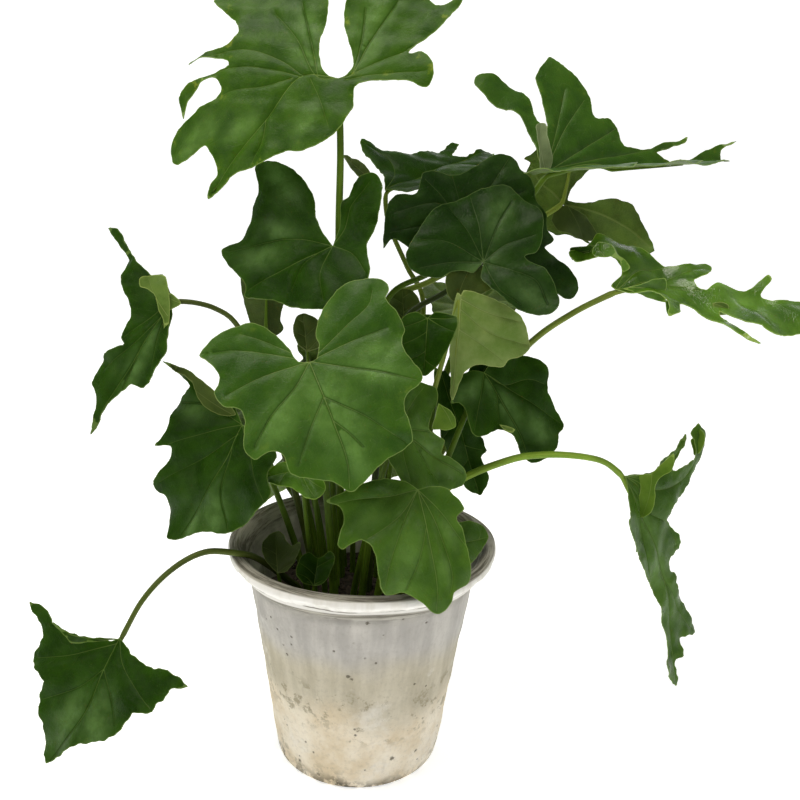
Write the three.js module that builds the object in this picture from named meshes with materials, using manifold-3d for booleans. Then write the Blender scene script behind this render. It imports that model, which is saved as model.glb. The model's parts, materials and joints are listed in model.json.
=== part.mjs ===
// Philodendron selloum in a whitewashed clay pot.
// Millimetres, +Z up. The origin is the centre of the pot's underside; +Y is the far side.
import * as THREE from "three";
import { mergeVertices } from "three/addons/utils/BufferGeometryUtils.js";
import Module from "manifold-3d";

const wasm = await Module();
wasm.setup();

// ---- driving dimensions -------------------------------------------------------------------
const POT_HEIGHT = 225;
const RIM_RADIUS = 130;
const NECK_RADIUS = 111;
const FOOT_RADIUS = 82;
const WALL = 9;
const FLOOR = 12;
const LIP_HEIGHT = 11;
const NECK_DROP = 29;
const RIM_FLAT = 10;
const POT_SIDES = 48;
const DRAIN_RADIUS = 5;
const DRAIN_CIRCLE = 42;
const DRAINS = 3;
const SOIL_LEVEL = 168;
const SOIL_RINGS = 4;

const CLEARANCE = 0.3;
const BLADE_THICKNESS = 1.2;
const LONGEST_EDGE = 36;
const PETIOLE_SIDES = 6;
const PETIOLE_STEP = 30;
const ROOT_DEPTH = 26;
const MIDRIB_STATIONS = 4;
const HALF_WIDTH = 100;

const rad = THREE.MathUtils.degToRad;

// ---- colours ------------------------------------------------------------------------------
const paint = (color, roughness) => ({ color, roughness, metalness: 0 });
const finishes = {
  pot: paint(0xb9b3ab, 0.9),
  soil: paint(0x2b211a, 1),
  light: paint(0x557d2b, 0.42),
  bright: paint(0x4c8a2a, 0.34),
  mid: paint(0x35641f, 0.4),
  sheen: paint(0x2f5f27, 0.42),
  dark: paint(0x20421b, 0.38),
  olive: paint(0x49602c, 0.6),
  pale: paint(0x7f9d4a, 0.55),
  petiole_green: paint(0x4f6b24, 0.5),
  petiole_bright: paint(0x6f9a33, 0.45),
  petiole_pale: paint(0x7c8f3a, 0.5),
  petiole_dark: paint(0x38471d, 0.5),
};

// ---- the leaves ---------------------------------------------------------------------------
// foot: where the petiole stands in the soil [x, y]; girth: its width at the soil and at the blade;
// way: points that it passes; top: where it meets the blade.
// heading, pitch, roll: how the blade lies, in degrees, with its midrib along the heading.
// length: petiole's top to tip; fold: how far the left and right halves are raised along the midrib;
// curl: how far the margins bend down again; droop and nape: how far the tip bends down and the rear
// lobes up; ruffle: height, number and phase of the waves round the margin.
// edge: the margin from the notch round by the left side, [forward, left] of the petiole's top.
// A young leaf is one solid piece with its petiole.
const HEART = [
  [-9, 5], [-30, 11], [-48, 26], [-52, 48], [-42, 66], [-24, 78], [-6, 80], [6, 72], [20, 75], [34, 66],
  [44, 52], [58, 50], [72, 36], [84, 18], [100, 0],
];

// A plain heart-shaped margin for a blade of this length; side is 1, or -1 for its mirror image.
function heartEdge(length, side) {
  const left = HEART.map(([x, y]) => [x, y]);
  const right = HEART.slice(0, -1).map(([x, y]) => [x * 1.04 - 1, -y * 0.94]);
  const size = length / 100;
  const round = [...left, ...right.reverse()].map(([x, y]) => [x * size, y * side * size]);
  return side > 0 ? round : round.reverse();
}

const leaves = [
  {
    name: "top_left", leaf: "light", stem: "green", foot: [-22, 22], girth: [9, 6],
    way: [[-30, 24, 520], [-30, 26, 591]], top: [-33, 25, 652],
    heading: -162, pitch: 37, roll: -51, length: 157,
    fold: [5, 5], curl: 12, droop: 25, nape: 8, ruffle: [4, 5, 0.6],
    edge: [
      [-8, 3], [-19, -2], [-38, -39], [-50, -52], [-67, -62], [-85, -64], [-102, -53], [-110, -30],
      [-112, 7], [-122, 11], [-146, 7], [-136, 14], [-116, 22], [-97, 25], [-61, 24], [-70, 31],
      [-71, 43], [-64, 56], [-51, 61], [-43, 45], [-22, 26], [-5, 18], [9, 33], [26, 40],
      [51, 40], [68, 33], [76, 24], [93, 18], [112, 9], [126, 2], [141, 1], [158, -1],
      [147, -9], [136, -13], [129, -30], [129, -42], [147, -46], [160, -51], [163, -57], [161, -66],
      [154, -72], [138, -76], [111, -72], [93, -67], [82, -72], [81, -82], [90, -88], [114, -87],
      [128, -79], [118, -98], [102, -98], [64, -81], [62, -86], [77, -106], [91, -114], [74, -110],
      [53, -99], [37, -101], [32, -115], [32, -155], [7, -146], [-16, -141], [-37, -132], [-49, -110],
      [-50, -83], [-39, -63], [-9, -38], [-1, -28], [5, -16], [5, -7],
    ],
  },
  {
    name: "top_right", leaf: "mid", stem: "green", foot: [34, 24], girth: [9, 5],
    way: [[62, 36, 330], [122, 56, 500]], top: [163, 50, 578],
    heading: 16, pitch: -5, roll: 30, length: 203,
    fold: [30, 35], curl: 4, droop: 0, nape: 0, ruffle: [3, 6, 0.4],
    edge: [
      [-4, 14], [-4, 30], [-12, 59], [-38, 80], [-49, 102], [-43, 109], [-27, 108], [-11, 95],
      [2, 79], [5, 55], [12, 45], [16, 64], [16, 103], [29, 119], [39, 127], [51, 110],
      [65, 95], [69, 80], [68, 57], [82, 54], [89, 41], [90, 22], [111, 18], [141, 23],
      [163, 28], [160, 22], [123, 12], [130, 6], [145, 1], [160, 2], [176, 11], [190, 15],
      [218, 19], [196, 9], [195, 2], [204, -1], [180, -14], [168, -40], [152, -38], [128, -32],
      [122, -70], [100, -80], [86, -48], [62, -44], [46, -80], [18, -92], [0, -78], [-10, -58],
      [-28, -66], [-40, -48], [-36, -26], [-14, -8],
    ],
  },
  {
    name: "back_right", leaf: "dark", stem: "pale", foot: [32, 44], girth: [8, 5],
    way: [[6, 46, 333], [18, 63, 449], [58, 66, 470], [129, 91, 508]], top: [196, 118, 548],
    heading: -95, pitch: -85, roll: -10, length: 98,
    fold: [8, 8], curl: 5, droop: 10, nape: 5, ruffle: [3, 5, 1.2],
    edge: [
      [-8, 10], [-38, 35], [-46, 58], [-50, 84], [-43, 98], [-10, 79], [3, 70], [8, 49],
      [2, 22], [4, 5], [15, 7], [45, 30], [64, 27], [85, 15], [98, 0], [89, -13],
      [72, -25], [52, -32], [42, -44], [39, -37], [11, -48], [-7, -36], [-27, -14], [-32, -5],
      [-31, 7], [-36, 24], [-40, 32], [-12, 4],
    ],
  },
  {
    name: "right_high", leaf: "bright", stem: "pale", foot: [24, 4], girth: [9, 5.4],
    way: [[70, 20, 300], [153, 22, 418], [189, 4, 453]], top: [223, -10, 478],
    heading: -7, pitch: 1, roll: 32, length: 200,
    fold: [10, 10], curl: 5, droop: 8, nape: 0, ruffle: [5, 8, 0.3],
    edge: [
      [-4, 4], [6, 18], [5, 26], [-5, 37], [-20, 38], [-36, 34], [-42, 44], [-22, 58],
      [-14, 68], [2, 61], [19, 58], [50, 36], [73, 39], [85, 44], [90, 40], [86, 29],
      [70, 15], [74, 6], [80, 4], [90, 13], [112, 12], [124, 18], [138, 29], [141, 25],
      [132, 12], [140, 5], [179, 7], [200, 0], [176, -24], [135, -46], [121, -41], [107, -41],
      [96, -26], [90, -20], [89, -26], [94, -36], [102, -47], [115, -66], [105, -56], [94, -51],
      [76, -34], [67, -23], [55, -17], [54, -29], [42, -39], [43, -16],
    ],
  },
  {
    name: "right_low", leaf: "mid", stem: "bright", foot: [38, -4], girth: [9, 5.6],
    way: [[70, -6, 271], [135, -16, 314], [171, -14, 320], [214, -4, 315], [234, 2, 308]],
      top: [255, 5, 294],
    heading: -8, pitch: 70, roll: 44, length: 238,
    fold: [2, 30], curl: 4, droop: 6, nape: 0, ruffle: [6, 9, 1],
    edge: [
      [9, 21], [13, 39], [9, 78], [2, 108], [20, 80], [28, 72], [31, 108], [20, 116],
      [4, 118], [0, 132], [14, 140], [26, 134], [45, 110], [57, 76], [59, 54], [71, 46],
      [97, 57], [109, 55], [111, 33], [119, 29], [131, 38], [136, 32], [161, 39], [206, 49],
      [197, 21], [213, 15], [211, 4], [224, 1], [234, 1], [238, -6], [227, -13], [214, -22],
      [203, -19], [200, -5], [186, -3], [158, -2], [139, -2], [120, -3], [112, -6], [117, -11],
      [99, -20], [80, -26], [73, -22], [59, -44], [46, -38], [32, -40], [27, -18], [16, -9],
    ],
  },
  {
    name: "left_high", leaf: "dark", stem: "dark", foot: [-48, 12], girth: [8, 4.4],
    way: [[-86, 14, 330], [-124, 8, 434], [-140, 2, 447], [-155, -6, 453]], top: [-177, -10, 456],
    heading: -170, pitch: 56, roll: -48, length: 148,
    fold: [6, 6], curl: 6, droop: 10, nape: 0, ruffle: [5, 6, 2],
    edge: [
      [18, 16], [38, 29], [79, 26], [84, 13], [90, 11], [108, 4], [130, 3], [148, 1],
      [128, -4], [113, -14], [108, -26], [78, -29], [59, -16], [57, -24], [39, -26], [30, -31],
      [12, -58], [-3, -64], [-14, -104], [-20, -93], [-12, -76], [-6, -32], [-13, -22],
    ],
  },
  {
    name: "left_middle", leaf: "dark", stem: "green", foot: [-54, -6], girth: [8, 4.6],
    way: [[-84, -4, 270]], top: [-113, -25, 345],
    heading: -160, pitch: 54, roll: -36, length: 127,
    fold: [8, 8], curl: 8, droop: 20, nape: 5, ruffle: [6, 7, 0.8],
    edge: [
      [-2, 12], [-8, 22], [-6, 38], [3, 52], [18, 58], [30, 72], [47, 70], [69, 61],
      [87, 48], [99, 27], [126, 1], [128, -6], [114, -22], [100, -32], [103, -47], [99, -52],
      [64, -47], [57, -52], [66, -67], [46, -63], [31, -71], [15, -74], [1, -68], [-1, -111],
      [-6, -93], [-6, -49], [-10, -30], [-9, -16],
    ],
  },
  {
    name: "left_low", leaf: "mid", stem: "dark", foot: [-60, -14], girth: [7.5, 4.4],
    way: [[-72, -24, 190], [-90, -40, 214], [-104, -48, 226], [-114, -51, 229],
      [-126, -50, 230], [-142, -50, 230], [-158, -56, 226], [-178, -67, 214], [-195, -84, 197]],
    top: [-213, -95, 166],
    heading: -141, pitch: 48, roll: -22, length: 122,
    fold: [8, 8], curl: 10, droop: 20, nape: 5, ruffle: [5, 8, 0.2],
    edge: [
      [4, 27], [3, 45], [-5, 64], [-4, 87], [7, 75], [17, 74], [23, 69], [29, 72],
      [40, 56], [58, 53], [70, 46], [93, 19], [122, 0], [92, -32], [77, -39], [66, -39],
      [61, -62], [56, -67], [39, -66], [30, -77], [27, -90], [21, -97], [18, -81], [23, -62],
      [21, -42], [6, -5],
    ],
  },
  {
    name: "front_centre", leaf: "sheen", stem: "green", foot: [-26, -32], girth: [9, 5],
    way: [[-38, -42, 320]], top: [-49, -75, 417],
    heading: -60, pitch: 50, roll: 29, length: 115,
    fold: [6, 6], curl: 8, droop: 22, nape: 8, ruffle: [3, 7, 0.5],
    edge: [
      [0, 6], [-12, 12], [-22, 12], [-40, 23], [-49, 34], [-58, 51], [-58, 63], [-50, 81],
      [-40, 84], [-32, 78], [-15, 84], [-2, 85], [9, 79], [20, 79], [40, 86], [47, 84],
      [54, 68], [60, 64], [91, 61], [100, 33], [115, 0], [104, -10], [86, -42], [72, -43],
      [66, -46], [64, -54], [66, -67], [55, -72], [33, -65], [23, -66], [16, -79], [3, -83],
      [-9, -75], [-24, -80], [-35, -87], [-48, -66], [-48, -38], [-38, -25], [-19, -14], [-3, -9],
    ],
  },
  {
    name: "upper_left", leaf: "dark", stem: "green", foot: [-26, 2], girth: [8, 5],
    way: [[-34, 10, 330], [-34, 14, 440]], top: [-34, -5, 508],
    heading: 168, pitch: 11, roll: -61, length: 105,
    fold: [8, 8], curl: 8, droop: 18, nape: 8, ruffle: [4, 6, 1.4],
    edge: [
      [-8, -18], [-12, -38], [-18, -43], [-23, -55], [-31, -61], [-45, -60], [-50, -46], [-39, -7],
      [-32, 7], [-35, 36], [-27, 48], [-12, 57], [6, 62], [22, 60], [39, 55], [54, 45],
      [87, 34], [85, 23], [106, -3], [111, -18], [94, -25], [80, -43], [78, -56], [68, -70],
      [71, -93], [56, -93], [36, -82], [22, -65], [15, -48], [14, -31], [9, -15],
    ],
  },
  {
    name: "upper_back", leaf: "dark", stem: "green", foot: [24, 34], girth: [8, 5],
    way: [[11, 30, 357], [19, 34, 459], [56, 30, 483]], top: [91, 20, 513],
    heading: 39, pitch: -66, roll: 50, length: 88,
    fold: [8, 8], curl: 8, droop: 10, nape: 10, ruffle: [4, 7, 2.1],
    edge: [
      [-15, 10], [-25, 31], [-26, 52], [-23, 63], [-25, 70], [-34, 73], [3, 83], [16, 79],
      [25, 62], [42, 63], [47, 57], [54, 33], [85, 7], [89, -6], [87, -16], [81, -23],
      [79, -32], [71, -40], [59, -46], [48, -57], [35, -63], [29, -73], [19, -67], [11, -94],
      [3, -104], [-5, -109], [-14, -108], [-19, -104], [-19, -93],
    ],
  },
  {
    name: "upper_centre", leaf: "dark", stem: "dark", foot: [6, -10], girth: [8, 4.8],
    way: [[32, -2, 441], [70, 0, 470]], top: [101, -12, 499],
    heading: 57, pitch: -61, roll: 25, length: 80,
    fold: [6, 6], curl: 8, droop: 12, nape: 12, ruffle: [4, 7, 0.9],
    edge: [
      [-13, 7], [-13, 12], [-14, 17], [-18, 25], [-26, 33], [-28, 41], [-29, 51], [-25, 62],
      [-16, 68], [25, 61], [40, 52], [72, 15], [80, 1], [74, -14], [60, -37], [32, -45],
      [21, -43], [14, -34], [5, -56], [-20, -74], [-28, -73], [-34, -66], [-35, -39], [-33, -31],
      [-29, -25], [-23, -12], [-16, -2],
    ],
  },
  {
    name: "crest", leaf: "dark", stem: "pale", foot: [4, 54], girth: [8, 4.4],
    way: [[54, 78, 449], [37, 82, 482], [16, 84, 527]], top: [12, 85, 556],
    heading: 42, pitch: -17, roll: 17, length: 170,
    fold: [14, 14], curl: 4, droop: 8, nape: 0, ruffle: [3, 7, 1],
    edge: [
      [13, 15], [20, 31], [27, 63], [37, 76], [46, 67], [47, 54], [53, 45], [64, 36],
      [101, 32], [108, 27], [133, 31], [137, 26], [114, 13], [128, 6], [153, 7], [174, 3],
      [150, -12], [128, -40], [100, -30], [84, -54], [54, -40], [34, -54], [14, -36],
    ],
  },
  {
    name: "pale_young", leaf: "pale", stem: "pale", foot: [18, -12], girth: [7, 4.2],
    way: [[42, -10, 300], [64, -16, 390]], top: [81, -25, 470],
    heading: -98, pitch: 75, roll: -23, length: 93,
    fold: [4, -70], curl: 10, droop: 10, nape: 0, ruffle: [2, 5, 0.7],
    edge: [
      [-5, 2], [3, 40], [9, 51], [18, 62], [40, 71], [48, 64], [54, 50], [60, 46],
      [60, 19], [69, 8], [93, 0], [66, -6], [50, -9], [30, -10], [10, -9], [-3, -5],
    ],
  },
  {
    name: "right_middle", leaf: "dark", stem: "green", foot: [34, -22], girth: [8, 4.8],
    way: [[60, -30, 270], [84, -26, 340]], top: [109, 0, 395],
    heading: -19, pitch: 53, roll: 47, length: 102,
    fold: [10, 10], curl: 8, droop: 20, nape: 5, ruffle: [5, 7, 0.4],
    edge: [
      [-3, 9], [-2, 23], [7, 42], [21, 53], [33, 54], [50, 46], [87, 47], [90, 35],
      [99, 27], [103, 11], [101, -1], [89, -7], [63, -8], [53, -17], [43, -45], [30, -45],
      [18, -40], [9, -41], [6, -48], [-3, -37], [-10, -21], [-7, -9],
    ],
  },
  {
    name: "over_rim", leaf: "mid", stem: "green", foot: [14, -42], girth: [8, 4.8],
    way: [[26, -56, 250]], top: [46, -88, 310],
    heading: -73, pitch: 47, roll: 9, length: 106,
    fold: [5, 5], curl: 10, droop: 35, nape: 10, ruffle: [5, 7, 1.1],
    edge: [
      [0, 11], [5, 25], [24, 36], [29, 28], [40, 32], [58, 33], [85, 31], [90, 15],
      [98, 11], [106, 1], [104, -5], [98, -9], [86, -25], [85, -41], [78, -45], [44, -48],
      [36, -56], [41, -73], [37, -76], [15, -67], [6, -69], [0, -80], [-13, -27], [-9, -10],
    ],
  },
  {
    name: "centre_low", leaf: "mid", stem: "green", foot: [0, -32], girth: [8, 4.8],
    way: [[10, -36, 270]], top: [27, -50, 352],
    heading: -2, pitch: 31, roll: 52, length: 82,
    fold: [6, 6], curl: 10, droop: 25, nape: 5, ruffle: [4, 6, 0.3],
    edge: [
      [-12, 6], [-16, 18], [-14, 30], [-8, 43], [0, 53], [14, 55], [20, 46], [26, 17],
      [44, 17], [49, 7], [59, 8], [80, 5], [82, -6], [40, -43], [32, -43], [8, -31],
      [-2, -22], [-4, -9],
    ],
  },
  {
    name: "rim_right", leaf: "mid", stem: "green", foot: [44, -26], girth: [6, 3.6],
    way: [[62, -34, 214]], top: [83, -45, 238],
    heading: 31, pitch: -1, roll: 45, length: 45,
    fold: [8, 8], curl: 5, droop: 10, nape: 0, ruffle: [2, 5, 0.2],
    edge: [[-1, 10], [7, 18], [20, 20], [41, 13], [45, 0], [-2, -25], [-9, -19], [-9, -9]],
  },
  {
    name: "inner_right", leaf: "dark", stem: "green", foot: [-8, -22], girth: [7, 4],
    way: [[20, -24, 320], [36, -22, 410]], top: [51, -42, 452],
    heading: -96, pitch: 65, roll: -5, length: 51,
    fold: [10, 10], curl: 5, droop: 15, nape: 0, ruffle: [2, 5, 0.2],
    edge: [
      [-5, 6], [-5, 16], [-1, 26], [12, 25], [37, 14], [43, 10], [51, 0], [38, -14],
      [26, -22], [12, -26], [1, -21], [-4, -11],
    ],
  },
  {
    name: "behind_left", leaf: "olive", stem: "green", foot: [-44, 30], girth: [8, 4.6],
    way: [[-70, 34, 300]], top: [-100, 45, 417],
    heading: 5, pitch: -90, roll: -90, length: 86,
    fold: [8, 8], curl: 5, droop: 8, nape: 0, ruffle: [3, 6, 0.2],
    edge: [
      [-2, 10], [4, 17], [16, 14], [45, 23], [65, 25], [80, 17], [87, 2], [81, -9],
      [69, -19], [53, -24], [15, -17], [5, -11],
    ],
  },
  {
    name: "crumpled", leaf: "dark", stem: "green", foot: [46, 28], girth: [7, 4.4],
    way: [[60, 32, 290]], top: [69, 7, 393],
    heading: -16, pitch: 69, roll: 54, length: 128,
    fold: [18, 18], curl: 8, droop: 10, nape: 0, ruffle: [6, 8, 0.9],
    edge: [
      [0, 5], [9, 8], [64, 14], [76, 21], [87, 20], [91, 12], [108, 14], [118, 10],
      [128, 1], [119, -9], [100, -16], [60, -22], [41, -20], [4, -11], [-6, -5],
    ],
  },
  {
    name: "back_left", leaf: "dark", stem: "green", foot: [-38, 40], girth: [8, 4.8],
    way: [[-64, 58, 290]], top: [-100, 104, 344],
    heading: 148, pitch: 42, roll: 8, length: 80,
    fold: [8, 8], curl: 10, droop: 24, nape: 8, ruffle: [4, 6, 0.8],
    edge: heartEdge(80, 1),
  },
  {
    name: "back_centre", leaf: "mid", stem: "green", foot: [-20, 48], girth: [8, 4.8],
    way: [[-30, 80, 300]], top: [-10, 118, 384],
    heading: 88, pitch: 38, roll: -6, length: 88,
    fold: [10, 10], curl: 8, droop: 26, nape: 10, ruffle: [5, 7, 1.9],
    edge: heartEdge(88, -1),
  },
  {
    name: "back_low", leaf: "dark", stem: "green", foot: [16, 64], girth: [8, 4.6],
    way: [[16, 84, 236]], top: [18, 112, 288],
    heading: 88, pitch: 46, roll: 4, length: 76,
    fold: [6, 6], curl: 12, droop: 22, nape: 8, ruffle: [4, 6, 0.2],
    edge: heartEdge(76, 1),
  },
  {
    name: "back_far_right", leaf: "dark", stem: "green", foot: [36, 60], girth: [8, 4.8],
    way: [[72, 84, 330]], top: [104, 118, 440],
    heading: 56, pitch: 44, roll: -10, length: 66,
    fold: [9, 9], curl: 10, droop: 26, nape: 6, ruffle: [5, 6, 2.6],
    edge: heartEdge(66, -1),
  },
  {
    name: "back_far_left", leaf: "mid", stem: "green", foot: [-46, 52], girth: [8, 4.6],
    way: [[-66, 78, 220]], top: [-98, 98, 262],
    heading: 124, pitch: 44, roll: 0, length: 86,
    fold: [7, 7], curl: 10, droop: 22, nape: 8, ruffle: [4, 7, 1.3],
    edge: heartEdge(86, 1),
  },
  {
    name: "inner_left", young: true, leaf: "olive", stem: "green", foot: [-36, -14], girth: [6, 3.4],
    way: [[-48, -16, 290]], top: [-55, -20, 414],
    heading: 115, pitch: -66, roll: -33, length: 35,
    fold: [8, 8], curl: 5, droop: 5, nape: 0, ruffle: [1, 5, 0.2],
    edge: [[8, 7], [20, 10], [32, 7], [36, -1], [24, -17], [12, -20], [2, -13]],
  },
  {
    name: "inner_centre", young: true, leaf: "olive", stem: "green", foot: [14, 20], girth: [6, 3.4],
    way: [[28, 27, 320]], top: [34, 42, 433],
    heading: 99, pitch: -65, roll: 1, length: 34,
    fold: [8, 8], curl: 5, droop: 5, nape: 0, ruffle: [1, 5, 0.2],
    edge: [[4, 10], [15, 17], [26, 13], [34, 0], [31, -11], [20, -17], [10, -17], [2, -10]],
  },
  {
    name: "top", young: true, leaf: "olive", stem: "green", foot: [-10, 36], girth: [6, 3],
    way: [[-12, 44, 380]], top: [-5, 50, 568],
    heading: 159, pitch: -38, roll: -35, length: 32,
    fold: [10, 10], curl: 5, droop: 5, nape: 0, ruffle: [1, 4, 0.2],
    edge: [[5, 8], [16, 7], [32, 0], [25, -6], [16, -9], [0, -4]],
  },
  {
    name: "under_left", young: true, leaf: "bright", stem: "green", foot: [-44, -30], girth: [6, 3.6],
    way: [[-52, -40, 250]], top: [-58, -50, 312],
    heading: -178, pitch: 13, roll: -38, length: 40,
    fold: [5, 5], curl: 5, droop: 10, nape: 0, ruffle: [2, 5, 0.2],
    edge: [
      [-10, 6], [-19, 16], [-20, 27], [-11, 36], [-3, 33], [10, 17], [21, 13], [40, 0],
      [31, -7], [12, -11],
    ],
  },
  {
    name: "pot_left", young: true, leaf: "bright", stem: "green", foot: [-66, -34], girth: [5, 3],
    way: [[-74, -46, 188]], top: [-78, -54, 211],
    heading: 101, pitch: -43, roll: -15, length: 45,
    fold: [12, 12], curl: 5, droop: 10, nape: 0, ruffle: [1.5, 5, 0.2],
    edge: [
      [13, 10], [27, 13], [44, 0], [43, -5], [28, -12], [23, -17], [26, -24], [16, -24],
      [6, -17], [0, -9],
    ],
  },
  {
    name: "pot_right", young: true, leaf: "bright", stem: "green", foot: [-42, -54], girth: [5, 3],
    way: [[-44, -60, 184]], top: [-44, -64, 204],
    heading: 82, pitch: -58, roll: 9, length: 31,
    fold: [12, 12], curl: 5, droop: 10, nape: 0, ruffle: [1.5, 5, 0.2],
    edge: [
      [2, 11], [10, 18], [20, 17], [27, 13], [30, 8], [26, -1], [33, -12], [27, -17],
      [8, -12], [2, -7],
    ],
  },
];

// ---- solids -------------------------------------------------------------------------------
function solidOf(geometry) {
  const bare = new THREE.BufferGeometry();
  bare.setAttribute("position", geometry.getAttribute("position"));
  bare.setIndex(geometry.getIndex());
  const merged = mergeVertices(bare, 1e-4);
  const corners = merged.getIndex().array;
  const whole = [];
  for (let i = 0; i < corners.length; i += 3) {
    const [a, b, c] = corners.slice(i, i + 3);
    if (a !== b && b !== c && c !== a) whole.push(a, b, c);
  }
  return new wasm.Manifold(new wasm.Mesh({
    numProp: 3,
    vertProperties: new Float32Array(merged.getAttribute("position").array),
    triVerts: new Uint32Array(whole),
  }));
}

function geometryOf(solid) {
  const mesh = solid.getMesh();
  const geometry = new THREE.BufferGeometry();
  geometry.setAttribute("position", new THREE.BufferAttribute(mesh.vertProperties, 3));
  geometry.setIndex(new THREE.BufferAttribute(mesh.triVerts, 1));
  return geometry;
}

function largestPart(solid) {
  return solid.decompose().reduce((best, piece) => (piece.volume() > best.volume() ? piece : best));
}

function indexedGeometry(points, triangles) {
  const geometry = new THREE.BufferGeometry().setFromPoints(points);
  geometry.setIndex(triangles.flat());
  return geometry;
}

// ---- flat outline to triangles ------------------------------------------------------------
const edgeKey = (a, b) => (a < b ? `${a}_${b}` : `${b}_${a}`);

function turn(p, q, r) {
  return (q.x - p.x) * (r.y - p.y) - (q.y - p.y) * (r.x - p.x);
}

function edgeOwners(triangles) {
  const owners = new Map();
  triangles.forEach((triangle, index) => {
    for (let k = 0; k < 3; k += 1) {
      const key = edgeKey(triangle[k], triangle[(k + 1) % 3]);
      owners.set(key, [...(owners.get(key) ?? []), index]);
    }
  });
  return owners;
}

// The angle at a corner, across from the edge a-b.
function facingAngle(points, corner, a, b) {
  const u = points[a].clone().sub(points[corner]);
  const v = points[b].clone().sub(points[corner]);
  return Math.acos(THREE.MathUtils.clamp(u.dot(v) / (u.length() * v.length()), -1, 1));
}

function plump(points, triangles, fixed) {
  let swapped = true;
  while (swapped) {
    swapped = false;
    const touched = new Set();
    for (const [key, [one, other]] of edgeOwners(triangles)) {
      if (other === undefined || fixed.has(key) || touched.has(one) || touched.has(other)) continue;
      const [a, b] = key.split("_").map(Number);
      const c = triangles[one].find((corner) => corner !== a && corner !== b);
      const d = triangles[other].find((corner) => corner !== a && corner !== b);
      const facing = facingAngle(points, c, a, b) + facingAngle(points, d, a, b);
      const first = turn(points[c], points[d], points[b]);
      const second = turn(points[c], points[d], points[a]);
      if (facing < Math.PI + 1e-6 || first * second >= 0) continue;
      triangles[one] = first > 0 ? [c, d, b] : [d, c, b];
      triangles[other] = second > 0 ? [c, d, a] : [d, c, a];
      touched.add(one).add(other);
      swapped = true;
    }
  }
}

function splitLong(points, triangles, outlineEdges) {
  const middles = new Map();
  for (const [key, owners] of edgeOwners(triangles)) {
    const [a, b] = key.split("_").map(Number);
    if (owners.length < 2 || outlineEdges.has(key)) continue;
    if (points[a].distanceTo(points[b]) <= LONGEST_EDGE) continue;
    middles.set(key, points.push(points[a].clone().lerp(points[b], 0.5)) - 1);
  }
  return triangles.flatMap((triangle) => {
    const mids = triangle.map((corner, k) => middles.get(edgeKey(corner, triangle[(k + 1) % 3])));
    const count = mids.filter((mid) => mid !== undefined).length;
    if (count === 0) return [triangle];
    // turn the triangle so that its first edge is split, and its third is the whole one where two are
    let shift = mids.findIndex((mid) => mid !== undefined);
    if (count === 2) shift = (mids.findIndex((mid) => mid === undefined) + 1) % 3;
    const [a, b, c] = [0, 1, 2].map((k) => triangle[(k + shift) % 3]);
    const [ab, bc, ca] = [0, 1, 2].map((k) => mids[(k + shift) % 3]);
    if (count === 1) return [[a, ab, c], [ab, b, c]];
    if (count === 2) return [[ab, b, bc], [a, ab, bc], [a, bc, c]];
    return [[a, ab, ca], [ab, b, bc], [ca, bc, c], [ab, bc, ca]];
  });
}

function bladeMesh(leaf) {
  const points = [[0, 0], ...leaf.edge].map(([x, y]) => new THREE.Vector2(x, y));
  const rimCount = points.length;
  const apex = new THREE.Vector2(leaf.length, 0);
  const fromApex = points.map((point) => point.distanceTo(apex));
  const tip = fromApex.indexOf(Math.min(...fromApex));
  const stations = [];
  for (let k = 1; k <= MIDRIB_STATIONS; k += 1) {
    const along = k / (MIDRIB_STATIONS + 1);
    stations.push(points.push(points[tip].clone().multiplyScalar(along)) - 1);
  }
  const rim = [...Array(rimCount).keys()];
  const halves = [
    [...rim.slice(0, tip + 1), ...stations.toReversed()],
    [0, ...stations, ...rim.slice(tip)],
  ];
  let triangles = halves.flatMap((half) => {
    const contour = half.map((index) => points[index]);
    return THREE.ShapeUtils.triangulateShape(contour, []).map((face) => face.map((k) => half[k]));
  });
  triangles = triangles.map(([a, b, c]) => {
    const anticlockwise = turn(points[a], points[b], points[c]) > 0;
    return anticlockwise ? [a, b, c] : [a, c, b];
  });
  const outlineEdges = new Set(rim.map((index) => edgeKey(index, (index + 1) % rimCount)));
  const midrib = [0, ...stations, tip];
  const fixed = new Set(outlineEdges);
  midrib.slice(1).forEach((index, k) => fixed.add(edgeKey(index, midrib[k])));
  plump(points, triangles, fixed);
  for (let round = 0; round < 2; round += 1) {
    triangles = splitLong(points, triangles, fixed);
    plump(points, triangles, fixed);
  }
  return { points, triangles, rimCount };
}

// ---- the shape of a blade -----------------------------------------------------------------
const bendStep = (degrees, span) => Math.sign(degrees || 1) * Math.max(Math.abs(rad(degrees)), 1e-6) / span;

function onBlade(leaf, x, y) {
  const [foldLeft, foldRight] = leaf.fold;
  const along = x >= 0 ? bendStep(leaf.droop, leaf.length) : bendStep(-leaf.nape, leaf.length);
  const pitch = along * x;
  const forward = Math.sin(pitch) / along;
  const sink = (Math.cos(pitch) - 1) / along;
  const curl = bendStep(leaf.curl, HALF_WIDTH);
  const start = rad(y >= 0 ? foldLeft : foldRight);
  const end = start - curl * Math.abs(y);
  const across = (Math.sign(y) * (Math.sin(start) - Math.sin(end))) / curl;
  const [height, count, phase] = leaf.ruffle;
  const reach = Math.min(Math.hypot(x, y) / leaf.length, 1.2);
  const wave = height * reach * reach * Math.sin(count * Math.atan2(y, x) + phase);
  const rise = (Math.cos(end) - Math.cos(start)) / curl + wave;
  return new THREE.Vector3(forward + Math.sin(pitch) * rise, across, sink + Math.cos(pitch) * rise);
}

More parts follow.
